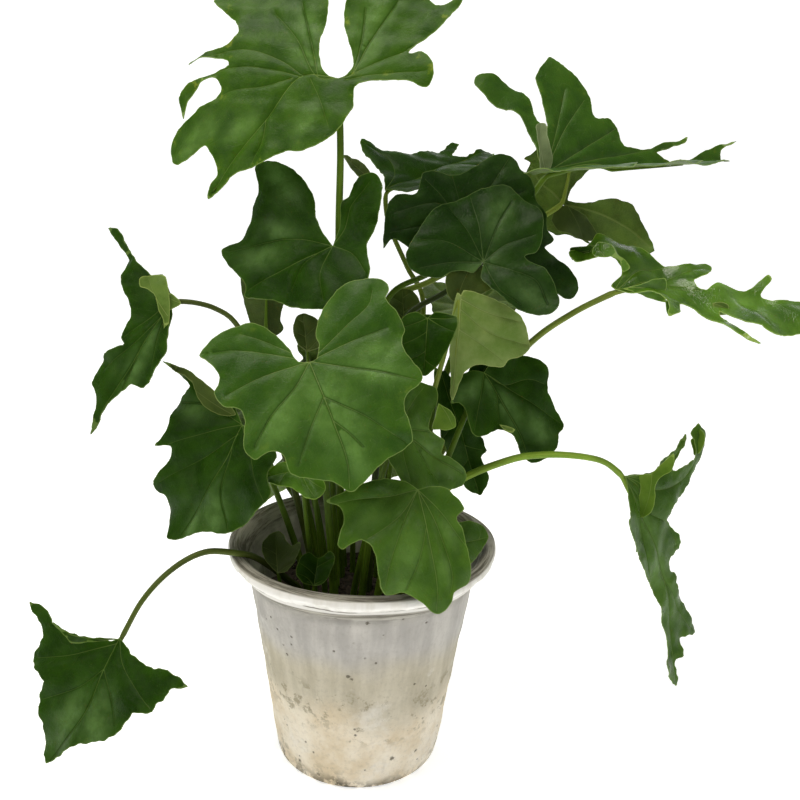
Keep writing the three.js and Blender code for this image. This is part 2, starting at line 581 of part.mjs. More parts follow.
// Moves the margin outwards by the same distance all round.
function growRim(points, rimCount, distance) {
  const rim = points.slice(0, rimCount);
  for (let i = 0; i < rimCount; i += 1) {
    const along = rim[(i + 1) % rimCount].clone().sub(rim.at(i - 1)).normalize();
    points[i] = rim[i].clone().add(new THREE.Vector2(-along.y, along.x).multiplyScalar(distance));
  }
}

function placeOf(leaf) {
  const place = new THREE.Matrix4();
  place.makeRotationFromEuler(new THREE.Euler(rad(leaf.roll), rad(leaf.pitch), rad(leaf.heading), "ZYX"));
  return place.setPosition(...leaf.top);
}

function bladeGeometry(leaf, extra = 0) {
  const { points, triangles, rimCount } = bladeMesh(leaf);
  const place = placeOf(leaf);
  growRim(points, rimCount, extra);
  const middle = points.map(({ x, y }) => onBlade(leaf, x, y).applyMatrix4(place));
  const normals = middle.map(() => new THREE.Vector3());
  for (const [a, b, c] of triangles) {
    const ab = middle[b].clone().sub(middle[a]);
    const face = ab.cross(middle[c].clone().sub(middle[a]));
    [a, b, c].forEach((corner) => normals[corner].add(face));
  }
  normals.forEach((normal) => normal.normalize());
  const half = BLADE_THICKNESS / 2 + extra;
  const upper = middle.map((point, i) => point.clone().addScaledVector(normals[i], half));
  const lower = middle.map((point, i) => point.clone().addScaledVector(normals[i], -half));
  const size = middle.length;
  const under = triangles.map(([a, b, c]) => [a + size, c + size, b + size]);
  const side = [];
  for (let i = 0; i < rimCount; i += 1) {
    const next = (i + 1) % rimCount;
    // the margin runs clockwise seen from above
    side.push([i, next, i + size], [next, next + size, i + size]);
  }
  return indexedGeometry([...upper, ...lower], [...triangles, ...under, ...side]);
}

// ---- petioles -----------------------------------------------------------------------------
function petioleCurve(leaf) {
  const [x, y] = leaf.foot;
  const points = [[x, y, SOIL_LEVEL - ROOT_DEPTH], [x, y, SOIL_LEVEL + 4], ...leaf.way, leaf.top];
  return new THREE.CatmullRomCurve3(points.map((p) => new THREE.Vector3(...p)), false, "centripetal");
}

function petioleGeometry(leaf, extra = 0) {
  const curve = petioleCurve(leaf);
  const steps = Math.max(3, Math.round(curve.getLength() / PETIOLE_STEP));
  const { normals, binormals } = curve.computeFrenetFrames(steps, false);
  const [thick, slim] = leaf.girth;
  const points = [];
  const triangles = [];
  for (let i = 0; i <= steps; i += 1) {
    const centre = curve.getPointAt(i / steps);
    const radius = THREE.MathUtils.lerp(thick, slim, i / steps) / 2 + extra;
    for (let k = 0; k < PETIOLE_SIDES; k += 1) {
      const angle = (2 * Math.PI * k) / PETIOLE_SIDES;
      const out = normals[i].clone().multiplyScalar(Math.cos(angle));
      out.addScaledVector(binormals[i], Math.sin(angle));
      points.push(centre.clone().addScaledVector(out, radius));
    }
  }
  for (let i = 0; i < steps; i += 1) {
    for (let k = 0; k < PETIOLE_SIDES; k += 1) {
      const a = i * PETIOLE_SIDES + k;
      const b = i * PETIOLE_SIDES + ((k + 1) % PETIOLE_SIDES);
      triangles.push([a, b, a + PETIOLE_SIDES], [b, b + PETIOLE_SIDES, a + PETIOLE_SIDES]);
    }
  }
  const last = steps * PETIOLE_SIDES;
  for (let k = 1; k < PETIOLE_SIDES - 1; k += 1) {
    triangles.push([0, k + 1, k], [last, last + k, last + k + 1]);
  }
  return indexedGeometry(points, triangles);
}

// ---- pot and soil -------------------------------------------------------------------------
// The fired rim isn't quite round or level: the lower on the pot, the truer it is.
function unevenness(angle, z) {
  const height = THREE.MathUtils.smoothstep(z, POT_HEIGHT * 0.6, POT_HEIGHT);
  return {
    swell: 1 + height * (0.009 * Math.sin(2 * angle + 0.7) + 0.006 * Math.sin(5 * angle)),
    lift: height * (1.2 * Math.sin(angle - 0.4) + 0.8 * Math.sin(3 * angle + 1)),
  };
}

function warp(geometry) {
  const position = geometry.getAttribute("position");
  for (let i = 0; i < position.count; i += 1) {
    const [x, y, z] = [position.getX(i), position.getY(i), position.getZ(i)];
    const { swell, lift } = unevenness(Math.atan2(y, x), z);
    position.setXYZ(i, x * swell, y * swell, z + lift);
  }
  return geometry;
}

function lathe(profile, sides) {
  const geometry = new THREE.LatheGeometry(profile.map(([r, z]) => new THREE.Vector2(r, z)), sides);
  return geometry.rotateX(Math.PI / 2);
}

function potGeometry() {
  const lipFoot = POT_HEIGHT - LIP_HEIGHT;
  const inside = RIM_RADIUS - RIM_FLAT;
  const profile = [
    [0, 0], [FOOT_RADIUS, 0],
    [FOOT_RADIUS + 8, POT_HEIGHT * 0.24], [FOOT_RADIUS + 16, POT_HEIGHT * 0.5],
    [NECK_RADIUS, POT_HEIGHT - NECK_DROP],
    [NECK_RADIUS + 8, POT_HEIGHT - NECK_DROP + 8], [RIM_RADIUS - 3, lipFoot],
    [RIM_RADIUS, lipFoot + 3], [RIM_RADIUS, POT_HEIGHT - 3], [RIM_RADIUS - 3, POT_HEIGHT],
    [inside, POT_HEIGHT], [inside - 5, POT_HEIGHT - 6],
    [NECK_RADIUS - WALL, POT_HEIGHT - NECK_DROP - 8],
    [FOOT_RADIUS - WALL + 2, FLOOR + 3], [FOOT_RADIUS - WALL - 3, FLOOR], [0, FLOOR],
  ];
  let pot = solidOf(warp(lathe(profile, POT_SIDES)));
  for (let i = 0; i < DRAINS; i += 1) {
    const angle = (2 * Math.PI * (i + 0.5)) / DRAINS;
    const hole = new THREE.CylinderGeometry(DRAIN_RADIUS, DRAIN_RADIUS, FLOOR * 3, 12).rotateX(Math.PI / 2);
    hole.translate(DRAIN_CIRCLE * Math.cos(angle), DRAIN_CIRCLE * Math.sin(angle), 0);
    pot = pot.subtract(solidOf(hole));
  }
  return geometryOf(pot);
}

// The inner wall runs straight from the floor up to the neck.
function insideRadius(angle, z) {
  const neck = POT_HEIGHT - NECK_DROP - 8;
  const { swell, lift } = unevenness(angle, neck);
  const foot = FOOT_RADIUS - WALL + 2;
  return THREE.MathUtils.mapLinear(z, FLOOR + 3, neck + lift, foot, (NECK_RADIUS - WALL) * swell);
}

// The profile's radii are shares of the pot's inner radius at that height.
function soilSolid() {
  const profile = [[0, FLOOR + CLEARANCE], [0.93, FLOOR + CLEARANCE], [1, FLOOR + 3]];
  for (let i = 0; i <= SOIL_RINGS; i += 1) {
    profile.push([1 - i / SOIL_RINGS, SOIL_LEVEL]);
  }
  const geometry = lathe(profile, POT_SIDES);
  const position = geometry.getAttribute("position");
  for (let i = 0; i < position.count; i += 1) {
    const [x, y, z] = [position.getX(i), position.getY(i), position.getZ(i)];
    const angle = Math.atan2(y, x);
    const share = Math.hypot(x, y);
    const heap = 5 * Math.cos(3 * share) + 2 * Math.sin(8 * x + 1) * Math.cos(9 * y);
    const level = z > SOIL_LEVEL - 1 ? z + heap : z;
    const radius = share * (insideRadius(angle, level) - CLEARANCE);
    position.setXYZ(i, radius * Math.cos(angle), radius * Math.sin(angle), level);
  }
  return solidOf(geometry);
}

// ---- the whole plant ----------------------------------------------------------------------
const plant = new THREE.Group();

function addPiece(name, geometry, finish) {
  const mesh = new THREE.Mesh(geometry, new THREE.MeshStandardMaterial(finishes[finish]));
  mesh.name = name;
  plant.add(mesh);
}

addPiece("pot", potGeometry(), "pot");
let soil = soilSolid();

for (const leaf of leaves) {
  soil = soil.subtract(solidOf(petioleGeometry(leaf, CLEARANCE)));
  if (leaf.young) {
    const whole = solidOf(bladeGeometry(leaf)).add(solidOf(petioleGeometry(leaf)));
    addPiece(`young_leaf_${leaf.name}`, geometryOf(largestPart(whole)), leaf.leaf);
    continue;
  }
  const gap = solidOf(bladeGeometry(leaf, CLEARANCE));
  const petiole = largestPart(solidOf(petioleGeometry(leaf)).subtract(gap));
  addPiece(`blade_${leaf.name}`, bladeGeometry(leaf), leaf.leaf);
  addPiece(`petiole_${leaf.name}`, geometryOf(petiole), `petiole_${leaf.stem}`);
}
addPiece("soil", geometryOf(largestPart(soil)), "soil");

export default plant;
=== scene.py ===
# %% [markdown]
# # Philodendron selloum in a whitewashed clay pot
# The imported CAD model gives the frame: where every blade, petiole (leaf stalk), the pot and the
# soil stand. Here each one is made again as a finer piece that keeps that form, with its veins,
# quilting, colour and gloss. The shapes are written in millimetres; Blender gets them in metres.

# %% Load the frame
import json
import math
import random

import bpy
import numpy as np
from mathutils import Euler, Matrix, Vector
from mathutils.geometry import delaunay_2d_cdt

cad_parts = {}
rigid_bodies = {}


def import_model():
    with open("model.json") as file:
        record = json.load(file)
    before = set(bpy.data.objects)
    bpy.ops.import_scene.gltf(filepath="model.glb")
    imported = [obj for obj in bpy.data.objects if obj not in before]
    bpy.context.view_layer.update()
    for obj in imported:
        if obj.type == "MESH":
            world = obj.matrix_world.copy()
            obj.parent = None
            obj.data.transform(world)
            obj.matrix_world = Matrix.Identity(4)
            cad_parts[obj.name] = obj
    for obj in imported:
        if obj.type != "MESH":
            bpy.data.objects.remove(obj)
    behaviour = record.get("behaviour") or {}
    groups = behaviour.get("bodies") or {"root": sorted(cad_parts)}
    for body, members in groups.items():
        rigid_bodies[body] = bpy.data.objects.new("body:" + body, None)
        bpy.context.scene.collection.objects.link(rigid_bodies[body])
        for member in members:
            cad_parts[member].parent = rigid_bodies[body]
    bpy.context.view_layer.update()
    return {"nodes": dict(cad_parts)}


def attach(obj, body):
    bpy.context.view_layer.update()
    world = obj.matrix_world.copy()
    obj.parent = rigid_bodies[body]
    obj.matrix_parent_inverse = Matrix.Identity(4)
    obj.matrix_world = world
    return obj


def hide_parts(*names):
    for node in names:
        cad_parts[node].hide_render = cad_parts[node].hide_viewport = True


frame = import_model()
MM = 0.001
print("CAD nodes:", len(frame["nodes"]))


# %% [markdown]
# ## Small helpers
# A finished piece is a mesh object whose place is in its vertices. It rides on the only body, and
# the CAD nodes that it stands for are hidden.
# These few functions do what every piece needs, so the later cells stay short.

# %% Helpers for meshes
def new_object(name, points_mm, faces):
    mesh = bpy.data.meshes.new(name)
    mesh.from_pydata([tuple(point) for point in np.asarray(points_mm) * MM], [], faces)
    mesh.update()
    piece = bpy.data.objects.new(name, mesh)
    bpy.context.scene.collection.objects.link(piece)
    return piece


def choose(piece):
    bpy.ops.object.select_all(action="DESELECT")
    piece.select_set(True)
    bpy.context.view_layer.objects.active = piece


def points_of(piece):
    flat = np.empty(len(piece.data.vertices) * 3, np.float32)
    piece.data.vertices.foreach_get("co", flat)
    return flat.reshape(-1, 3).astype(float) / MM


def move_points(piece, points_mm):
    flat = (np.asarray(points_mm) * MM).astype(np.float32).ravel()
    piece.data.vertices.foreach_set("co", flat)
    piece.data.update()


def note(piece, name, values):
    """Keeps one number, or a list of three, with every vertex of a piece for its material to read."""
    values = np.asarray(values, np.float32)
    kind, key = ("FLOAT", "value") if values.ndim == 1 else ("FLOAT_VECTOR", "vector")
    attribute = piece.data.attributes.new(name, kind, "POINT")
    attribute.data.foreach_set(key, values.ravel())


def smooth_all(piece, degrees=50):
    choose(piece)
    bpy.ops.object.shade_smooth_by_angle(angle=math.radians(degrees))


def apply_all(piece):
    choose(piece)
    for modifier in list(piece.modifiers):
        bpy.ops.object.modifier_apply(modifier=modifier.name)


def hand_over(piece, slot, *nodes):
    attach(piece, "root")
    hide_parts(*nodes)


def triangles_in(piece):
    return sum(len(face.vertices) - 2 for face in piece.data.polygons)


print("mesh helpers are ready")


# %% [markdown]
# ## Lines without corners
# Margins, veins, stalks and the pot's profile are all soft lines, given by a few points each. A
# Bezier curve would need handles for every point. This curve needs none: it goes through the
# points, and its speed follows their distances, so that it makes no loops where they lie close.

# %% A curve through points
def smooth_line(points, step, firm=0.0):
    """A curve through the points, as a string of points about one step apart; firm keeps the corners."""
    points = np.asarray(points, float)
    points = np.vstack([2 * points[0] - points[1], points, 2 * points[-1] - points[-2]])
    line = []
    for before, start, end, after in zip(points, points[1:], points[2:], points[3:]):
        a, b, c = (max(np.linalg.norm(q - p), 1e-6) ** 0.5
                   for p, q in ((before, start), (start, end), (end, after)))
        leave = ((start - before) / a - (end - before) / (a + b) + (end - start) / b) * b
        arrive = ((end - start) / b - (after - start) / (b + c) + (after - end) / c) * b
        count = max(1, round(np.linalg.norm(end - start) / step))
        t = (np.arange(count) / count)[:, None]
        curve = ((2 * t**3 - 3 * t**2 + 1) * start + (t**3 - 2 * t**2 + t) * leave
                 + (3 * t**2 - 2 * t**3) * end + (t**3 - t**2) * arrive)
        line.append(curve + firm * (start + t * (end - start) - curve))
    return np.vstack([*line, points[-2]])


print("a quarter bend in", len(smooth_line([(0, 0), (8, 2), (10, 10)], 1.0)), "points")


# %% [markdown]
# ## The leaves, one by one
# This table is the plant. One stock leaf could be copied and bent, but every leaf of a selloum has
# lobes of its own, so each near one has its own outline. It is drawn flat, on a chart: x runs from
# the petiole's top towards the tip, y to the left, in millimetres. The edge starts at the notch
# where the petiole joins, and runs round by the left side. A blade is then folded along its midrib,
# curled, drooped and ruffled, turned to its heading, and set on its petiole's top.

# %% The table of leaves
leaves = []
HEART = [
    (-9, 5), (-30, 11), (-48, 26), (-52, 48), (-42, 66), (-24, 78), (-6, 80), (6, 72), (20, 75),
    (34, 66), (44, 52), (58, 50), (72, 36), (84, 18), (100, 0),
]


def heart_edge(length, side):
    """A plain heart-shaped margin for a leaf at the back, a little uneven, mirrored by side."""
    size = length / 100
    right = [(x * 1.04 - 1, -y * 0.94) for x, y in HEART[:-1]]
    edge = [(x * size, y * side * size) for x, y in HEART + right[::-1]]
    return edge if side > 0 else edge[::-1]


def add_leaf(name, colour, stalk, young=False, **shape):
    leaves.append({"name": name, "colour": colour, "stalk": stalk, "young": young, **shape})


add_leaf(
    "top_left", "light", "green", foot=(-22, 22), girth=(9, 6),
    way=[(-30, 24, 520), (-30, 26, 591)], top=(-33, 25, 652),
    turn=(-162, 37, -51), length=157, fold=(5, 5), curl=12, droop=25, nape=8,
    ruffle=(4, 5, 0.6), edge=[
        (-8, 3), (-19, -2), (-38, -39), (-50, -52), (-67, -62), (-85, -64), (-102, -53), (-110, -30),
        (-112, 7), (-122, 11), (-146, 7), (-136, 14), (-116, 22), (-97, 25), (-61, 24), (-70, 31),
        (-71, 43), (-64, 56), (-51, 61), (-43, 45), (-22, 26), (-5, 18), (9, 33), (26, 40),
        (51, 40), (68, 33), (76, 24), (93, 18), (112, 9), (126, 2), (141, 1), (158, -1),
        (147, -9), (136, -13), (129, -30), (129, -42), (147, -46), (160, -51), (163, -57), (161, -66),
        (154, -72), (138, -76), (111, -72), (93, -67), (82, -72), (81, -82), (90, -88), (114, -87),
        (128, -79), (118, -98), (102, -98), (64, -81), (62, -86), (77, -106), (91, -114), (74, -110),
        (53, -99), (37, -101), (32, -115), (32, -155), (7, -146), (-16, -141), (-37, -132), (-49, -110),
        (-50, -83), (-39, -63), (-9, -38), (-1, -28), (5, -16), (5, -7),
    ],
)
add_leaf(
    "top_right", "mid", "green", foot=(34, 24), girth=(9, 5),
    way=[(62, 36, 330), (122, 56, 500)], top=(163, 50, 578),
    turn=(16, -5, 30), length=203, fold=(30, 35), curl=4, droop=0, nape=0,
    ruffle=(3, 6, 0.4), edge=[
        (-4, 14), (-4, 30), (-12, 59), (-38, 80), (-49, 102), (-43, 109), (-27, 108), (-11, 95),
        (2, 79), (5, 55), (12, 45), (16, 64), (16, 103), (29, 119), (39, 127), (51, 110),
        (65, 95), (69, 80), (68, 57), (82, 54), (89, 41), (90, 22), (111, 18), (141, 23),
        (163, 28), (160, 22), (123, 12), (130, 6), (145, 1), (160, 2), (176, 11), (190, 15),
        (218, 19), (196, 9), (195, 2), (204, -1), (180, -14), (168, -40), (152, -38), (128, -32),
        (122, -70), (100, -80), (86, -48), (62, -44), (46, -80), (18, -92), (0, -78), (-10, -58),
        (-28, -66), (-40, -48), (-36, -26), (-14, -8),
    ],
)
add_leaf(
    "back_right", "dark", "pale", foot=(32, 44), girth=(8, 5),
    way=[(6, 46, 333), (18, 63, 449), (58, 66, 470), (129, 91, 508)], top=(196, 118, 548),
    turn=(-95, -85, -10), length=98, fold=(8, 8), curl=5, droop=10, nape=5,
    ruffle=(3, 5, 1.2), edge=[
        (-8, 10), (-38, 35), (-46, 58), (-50, 84), (-43, 98), (-10, 79), (3, 70), (8, 49),
        (2, 22), (4, 5), (15, 7), (45, 30), (64, 27), (85, 15), (98, 0), (89, -13),
        (72, -25), (52, -32), (42, -44), (39, -37), (11, -48), (-7, -36), (-27, -14), (-32, -5),
        (-31, 7), (-36, 24), (-40, 32), (-12, 4),
    ],
)
add_leaf(
    "right_high", "bright", "pale", foot=(24, 4), girth=(9, 5.4),
    way=[(70, 20, 300), (153, 22, 418), (189, 4, 453)], top=(223, -10, 478),
    turn=(-7, 1, 32), length=200, fold=(10, 10), curl=5, droop=8, nape=0,
    ruffle=(5, 8, 0.3), edge=[
        (-4, 4), (6, 18), (5, 26), (-5, 37), (-20, 38), (-36, 34), (-42, 44), (-22, 58),
        (-14, 68), (2, 61), (19, 58), (50, 36), (73, 39), (85, 44), (90, 40), (86, 29),
        (70, 15), (74, 6), (80, 4), (90, 13), (112, 12), (124, 18), (138, 29), (141, 25),
        (132, 12), (140, 5), (179, 7), (200, 0), (176, -24), (135, -46), (121, -41), (107, -41),
        (96, -26), (90, -20), (89, -26), (94, -36), (102, -47), (115, -66), (105, -56), (94, -51),
        (76, -34), (67, -23), (55, -17), (54, -29), (42, -39), (43, -16),
    ],
)
add_leaf(
    "right_low", "mid", "bright", foot=(38, -4), girth=(9, 5.6),
    way=[(70, -6, 271), (135, -16, 314), (171, -14, 320), (214, -4, 315),
         (234, 2, 308)], top=(255, 5, 294),
    turn=(-8, 70, 44), length=238, fold=(2, 30), curl=4, droop=6, nape=0,
    ruffle=(6, 9, 1), edge=[
        (9, 21), (13, 39), (9, 78), (2, 108), (20, 80), (28, 72), (31, 108), (20, 116),
        (4, 118), (0, 132), (14, 140), (26, 134), (45, 110), (57, 76), (59, 54), (71, 46),
        (97, 57), (109, 55), (111, 33), (119, 29), (131, 38), (136, 32), (161, 39), (206, 49),
        (197, 21), (213, 15), (211, 4), (224, 1), (234, 1), (238, -6), (227, -13), (214, -22),
        (203, -19), (200, -5), (186, -3), (158, -2), (139, -2), (120, -3), (112, -6), (117, -11),
        (99, -20), (80, -26), (73, -22), (59, -44), (46, -38), (32, -40), (27, -18), (16, -9),
    ],
)
add_leaf(
    "left_high", "dark", "dark", foot=(-48, 12), girth=(8, 4.4),
    way=[(-86, 14, 330), (-124, 8, 434), (-140, 2, 447), (-155, -6, 453)], top=(-177, -10, 456),
    turn=(-170, 56, -48), length=148, fold=(6, 6), curl=6, droop=10, nape=0,
    ruffle=(5, 6, 2), edge=[
        (18, 16), (38, 29), (79, 26), (84, 13), (90, 11), (108, 4), (130, 3), (148, 1),
        (128, -4), (113, -14), (108, -26), (78, -29), (59, -16), (57, -24), (39, -26), (30, -31),
        (12, -58), (-3, -64), (-14, -104), (-20, -93), (-12, -76), (-6, -32), (-13, -22),
    ],
)
add_leaf(
    "left_middle", "dark", "green", foot=(-54, -6), girth=(8, 4.6),
    way=[(-84, -4, 270)], top=(-113, -25, 345),
    turn=(-160, 54, -36), length=127, fold=(8, 8), curl=8, droop=20, nape=5,
    ruffle=(6, 7, 0.8), edge=[
        (-2, 12), (-8, 22), (-6, 38), (3, 52), (18, 58), (30, 72), (47, 70), (69, 61),
        (87, 48), (99, 27), (126, 1), (128, -6), (114, -22), (100, -32), (103, -47), (99, -52),
        (64, -47), (57, -52), (66, -67), (46, -63), (31, -71), (15, -74), (1, -68), (-1, -111),
        (-6, -93), (-6, -49), (-10, -30), (-9, -16),
    ],
)
add_leaf(
    "left_low", "mid", "dark", foot=(-60, -14), girth=(7.5, 4.4),
    way=[(-72, -24, 190), (-90, -40, 214), (-104, -48, 226), (-114, -51, 229),
         (-126, -50, 230), (-142, -50, 230), (-158, -56, 226), (-178, -67, 214), (-195, -84, 197)],
    top=(-213, -95, 166),
    turn=(-141, 48, -22), length=122, fold=(8, 8), curl=10, droop=20, nape=5,
    ruffle=(5, 8, 0.2), edge=[
        (4, 27), (3, 45), (-5, 64), (-4, 87), (7, 75), (17, 74), (23, 69), (29, 72),
        (40, 56), (58, 53), (70, 46), (93, 19), (122, 0), (92, -32), (77, -39), (66, -39),
        (61, -62), (56, -67), (39, -66), (30, -77), (27, -90), (21, -97), (18, -81), (23, -62),
        (21, -42), (6, -5),
    ],
)
add_leaf(
    "front_centre", "sheen", "green", foot=(-26, -32), girth=(9, 5),
    way=[(-38, -42, 320)], top=(-49, -75, 417),
    turn=(-60, 50, 29), length=115, fold=(6, 6), curl=8, droop=22, nape=8,
    ruffle=(3, 7, 0.5), edge=[
        (0, 6), (-12, 12), (-22, 12), (-40, 23), (-49, 34), (-58, 51), (-58, 63), (-50, 81),
        (-40, 84), (-32, 78), (-15, 84), (-2, 85), (9, 79), (20, 79), (40, 86), (47, 84),
        (54, 68), (60, 64), (91, 61), (100, 33), (115, 0), (104, -10), (86, -42), (72, -43),
        (66, -46), (64, -54), (66, -67), (55, -72), (33, -65), (23, -66), (16, -79), (3, -83),
        (-9, -75), (-24, -80), (-35, -87), (-48, -66), (-48, -38), (-38, -25), (-19, -14), (-3, -9),
    ],
)
add_leaf(
    "upper_left", "dark", "green", foot=(-26, 2), girth=(8, 5),
    way=[(-34, 10, 330), (-34, 14, 440)], top=(-34, -5, 508),
    turn=(168, 11, -61), length=105, fold=(8, 8), curl=8, droop=18, nape=8,
    ruffle=(4, 6, 1.4), edge=[
        (-8, -18), (-12, -38), (-18, -43), (-23, -55), (-31, -61), (-45, -60), (-50, -46), (-39, -7),
        (-32, 7), (-35, 36), (-27, 48), (-12, 57), (6, 62), (22, 60), (39, 55), (54, 45),
        (87, 34), (85, 23), (106, -3), (111, -18), (94, -25), (80, -43), (78, -56), (68, -70),
        (71, -93), (56, -93), (36, -82), (22, -65), (15, -48), (14, -31), (9, -15),
    ],
)
add_leaf(
    "upper_back", "dark", "green", foot=(24, 34), girth=(8, 5),
    way=[(11, 30, 357), (19, 34, 459), (56, 30, 483)], top=(91, 20, 513),
    turn=(39, -66, 50), length=88, fold=(8, 8), curl=8, droop=10, nape=10,
    ruffle=(4, 7, 2.1), edge=[
        (-15, 10), (-25, 31), (-26, 52), (-23, 63), (-25, 70), (-34, 73), (3, 83), (16, 79),
        (25, 62), (42, 63), (47, 57), (54, 33), (85, 7), (89, -6), (87, -16), (81, -23),
        (79, -32), (71, -40), (59, -46), (48, -57), (35, -63), (29, -73), (19, -67), (11, -94),
        (3, -104), (-5, -109), (-14, -108), (-19, -104), (-19, -93),
    ],
)
add_leaf(
    "upper_centre", "dark", "dark", foot=(6, -10), girth=(8, 4.8),
    way=[(32, -2, 441), (70, 0, 470)], top=(101, -12, 499),
    turn=(57, -61, 25), length=80, fold=(6, 6), curl=8, droop=12, nape=12,
    ruffle=(4, 7, 0.9), edge=[
        (-13, 7), (-13, 12), (-14, 17), (-18, 25), (-26, 33), (-28, 41), (-29, 51), (-25, 62),
        (-16, 68), (25, 61), (40, 52), (72, 15), (80, 1), (74, -14), (60, -37), (32, -45),
        (21, -43), (14, -34), (5, -56), (-20, -74), (-28, -73), (-34, -66), (-35, -39), (-33, -31),
        (-29, -25), (-23, -12), (-16, -2),
    ],
)
add_leaf(
    "crest", "dark", "pale", foot=(4, 54), girth=(8, 4.4),
    way=[(54, 78, 449), (37, 82, 482), (16, 84, 527)], top=(12, 85, 556),
    turn=(42, -17, 17), length=170, fold=(14, 14), curl=4, droop=8, nape=0,
    ruffle=(3, 7, 1), edge=[
        (13, 15), (20, 31), (27, 63), (37, 76), (46, 67), (47, 54), (53, 45), (64, 36),
        (101, 32), (108, 27), (133, 31), (137, 26), (114, 13), (128, 6), (153, 7), (174, 3),
        (150, -12), (128, -40), (100, -30), (84, -54), (54, -40), (34, -54), (14, -36),
    ],
)
add_leaf(
    "pale_young", "pale", "pale", foot=(18, -12), girth=(7, 4.2),
    way=[(42, -10, 300), (64, -16, 390)], top=(81, -25, 470),
    turn=(-98, 75, -23), length=93, fold=(4, -70), curl=10, droop=10, nape=0,
    ruffle=(2, 5, 0.7), edge=[
        (-5, 2), (3, 40), (9, 51), (18, 62), (40, 71), (48, 64), (54, 50), (60, 46),
        (60, 19), (69, 8), (93, 0), (66, -6), (50, -9), (30, -10), (10, -9), (-3, -5),
    ],
)
add_leaf(
    "right_middle", "dark", "green", foot=(34, -22), girth=(8, 4.8),
    way=[(60, -30, 270), (84, -26, 340)], top=(109, 0, 395),
    turn=(-19, 53, 47), length=102, fold=(10, 10), curl=8, droop=20, nape=5,
    ruffle=(5, 7, 0.4), edge=[
        (-3, 9), (-2, 23), (7, 42), (21, 53), (33, 54), (50, 46), (87, 47), (90, 35),
        (99, 27), (103, 11), (101, -1), (89, -7), (63, -8), (53, -17), (43, -45), (30, -45),
        (18, -40), (9, -41), (6, -48), (-3, -37), (-10, -21), (-7, -9),
    ],
)
add_leaf(
    "over_rim", "mid", "green", foot=(14, -42), girth=(8, 4.8),
    way=[(26, -56, 250)], top=(46, -88, 310),
    turn=(-73, 47, 9), length=106, fold=(5, 5), curl=10, droop=35, nape=10,
    ruffle=(5, 7, 1.1), edge=[
        (0, 11), (5, 25), (24, 36), (29, 28), (40, 32), (58, 33), (85, 31), (90, 15),
        (98, 11), (106, 1), (104, -5), (98, -9), (86, -25), (85, -41), (78, -45), (44, -48),
        (36, -56), (41, -73), (37, -76), (15, -67), (6, -69), (0, -80), (-13, -27), (-9, -10),
    ],
)
add_leaf(
    "centre_low", "mid", "green", foot=(0, -32), girth=(8, 4.8),
    way=[(10, -36, 270)], top=(27, -50, 352),
    turn=(-2, 31, 52), length=82, fold=(6, 6), curl=10, droop=25, nape=5,
    ruffle=(4, 6, 0.3), edge=[
        (-12, 6), (-16, 18), (-14, 30), (-8, 43), (0, 53), (14, 55), (20, 46), (26, 17),
        (44, 17), (49, 7), (59, 8), (80, 5), (82, -6), (40, -43), (32, -43), (8, -31),
        (-2, -22), (-4, -9),
    ],
)
add_leaf(
    "rim_right", "mid", "green", foot=(44, -26), girth=(6, 3.6),
    way=[(62, -34, 214)], top=(83, -45, 238),
    turn=(31, -1, 45), length=45, fold=(8, 8), curl=5, droop=10, nape=0,
    ruffle=(2, 5, 0.2), edge=[
        (-1, 10), (7, 18), (20, 20), (41, 13), (45, 0), (-2, -25), (-9, -19), (-9, -9),
    ],
)
add_leaf(
    "inner_right", "dark", "green", foot=(-8, -22), girth=(7, 4),
    way=[(20, -24, 320), (36, -22, 410)], top=(51, -42, 452),
    turn=(-96, 65, -5), length=51, fold=(10, 10), curl=5, droop=15, nape=0,
    ruffle=(2, 5, 0.2), edge=[
        (-5, 6), (-5, 16), (-1, 26), (12, 25), (37, 14), (43, 10), (51, 0), (38, -14),
        (26, -22), (12, -26), (1, -21), (-4, -11),
    ],
)
add_leaf(
    "behind_left", "olive", "green", foot=(-44, 30), girth=(8, 4.6),
    way=[(-70, 34, 300)], top=(-100, 45, 417),
    turn=(5, -90, -90), length=86, fold=(8, 8), curl=5, droop=8, nape=0,
    ruffle=(3, 6, 0.2), edge=[
        (-2, 10), (4, 17), (16, 14), (45, 23), (65, 25), (80, 17), (87, 2), (81, -9),
        (69, -19), (53, -24), (15, -17), (5, -11),
    ],
)
add_leaf(
    "crumpled", "dark", "green", foot=(46, 28), girth=(7, 4.4),
    way=[(60, 32, 290)], top=(69, 7, 393),
    turn=(-16, 69, 54), length=128, fold=(18, 18), curl=8, droop=10, nape=0,
    ruffle=(6, 8, 0.9), edge=[
        (0, 5), (9, 8), (64, 14), (76, 21), (87, 20), (91, 12), (108, 14), (118, 10),
        (128, 1), (119, -9), (100, -16), (60, -22), (41, -20), (4, -11), (-6, -5),
    ],
)
add_leaf(
    "back_left", "dark", "green", foot=(-38, 40), girth=(8, 4.8),
    way=[(-64, 58, 290)], top=(-100, 104, 344),
    turn=(138, 42, 8), length=80, fold=(8, 8), curl=10, droop=24, nape=8,
    ruffle=(4, 6, 0.8), edge=heart_edge(80, 1),
)
add_leaf(
    "back_centre", "mid", "green", foot=(-20, 48), girth=(8, 4.8),
    way=[(-30, 80, 300)], top=(-10, 118, 384),
    turn=(104, 38, -6), length=88, fold=(10, 10), curl=8, droop=26, nape=10,
    ruffle=(5, 7, 1.9), edge=heart_edge(88, -1),
)
add_leaf(
    "back_low", "dark", "green", foot=(16, 64), girth=(8, 4.6),
    way=[(16, 84, 236)], top=(18, 112, 288),
    turn=(88, 46, 4), length=76, fold=(6, 6), curl=12, droop=22, nape=8,
    ruffle=(4, 6, 0.2), edge=heart_edge(76, 1),
)
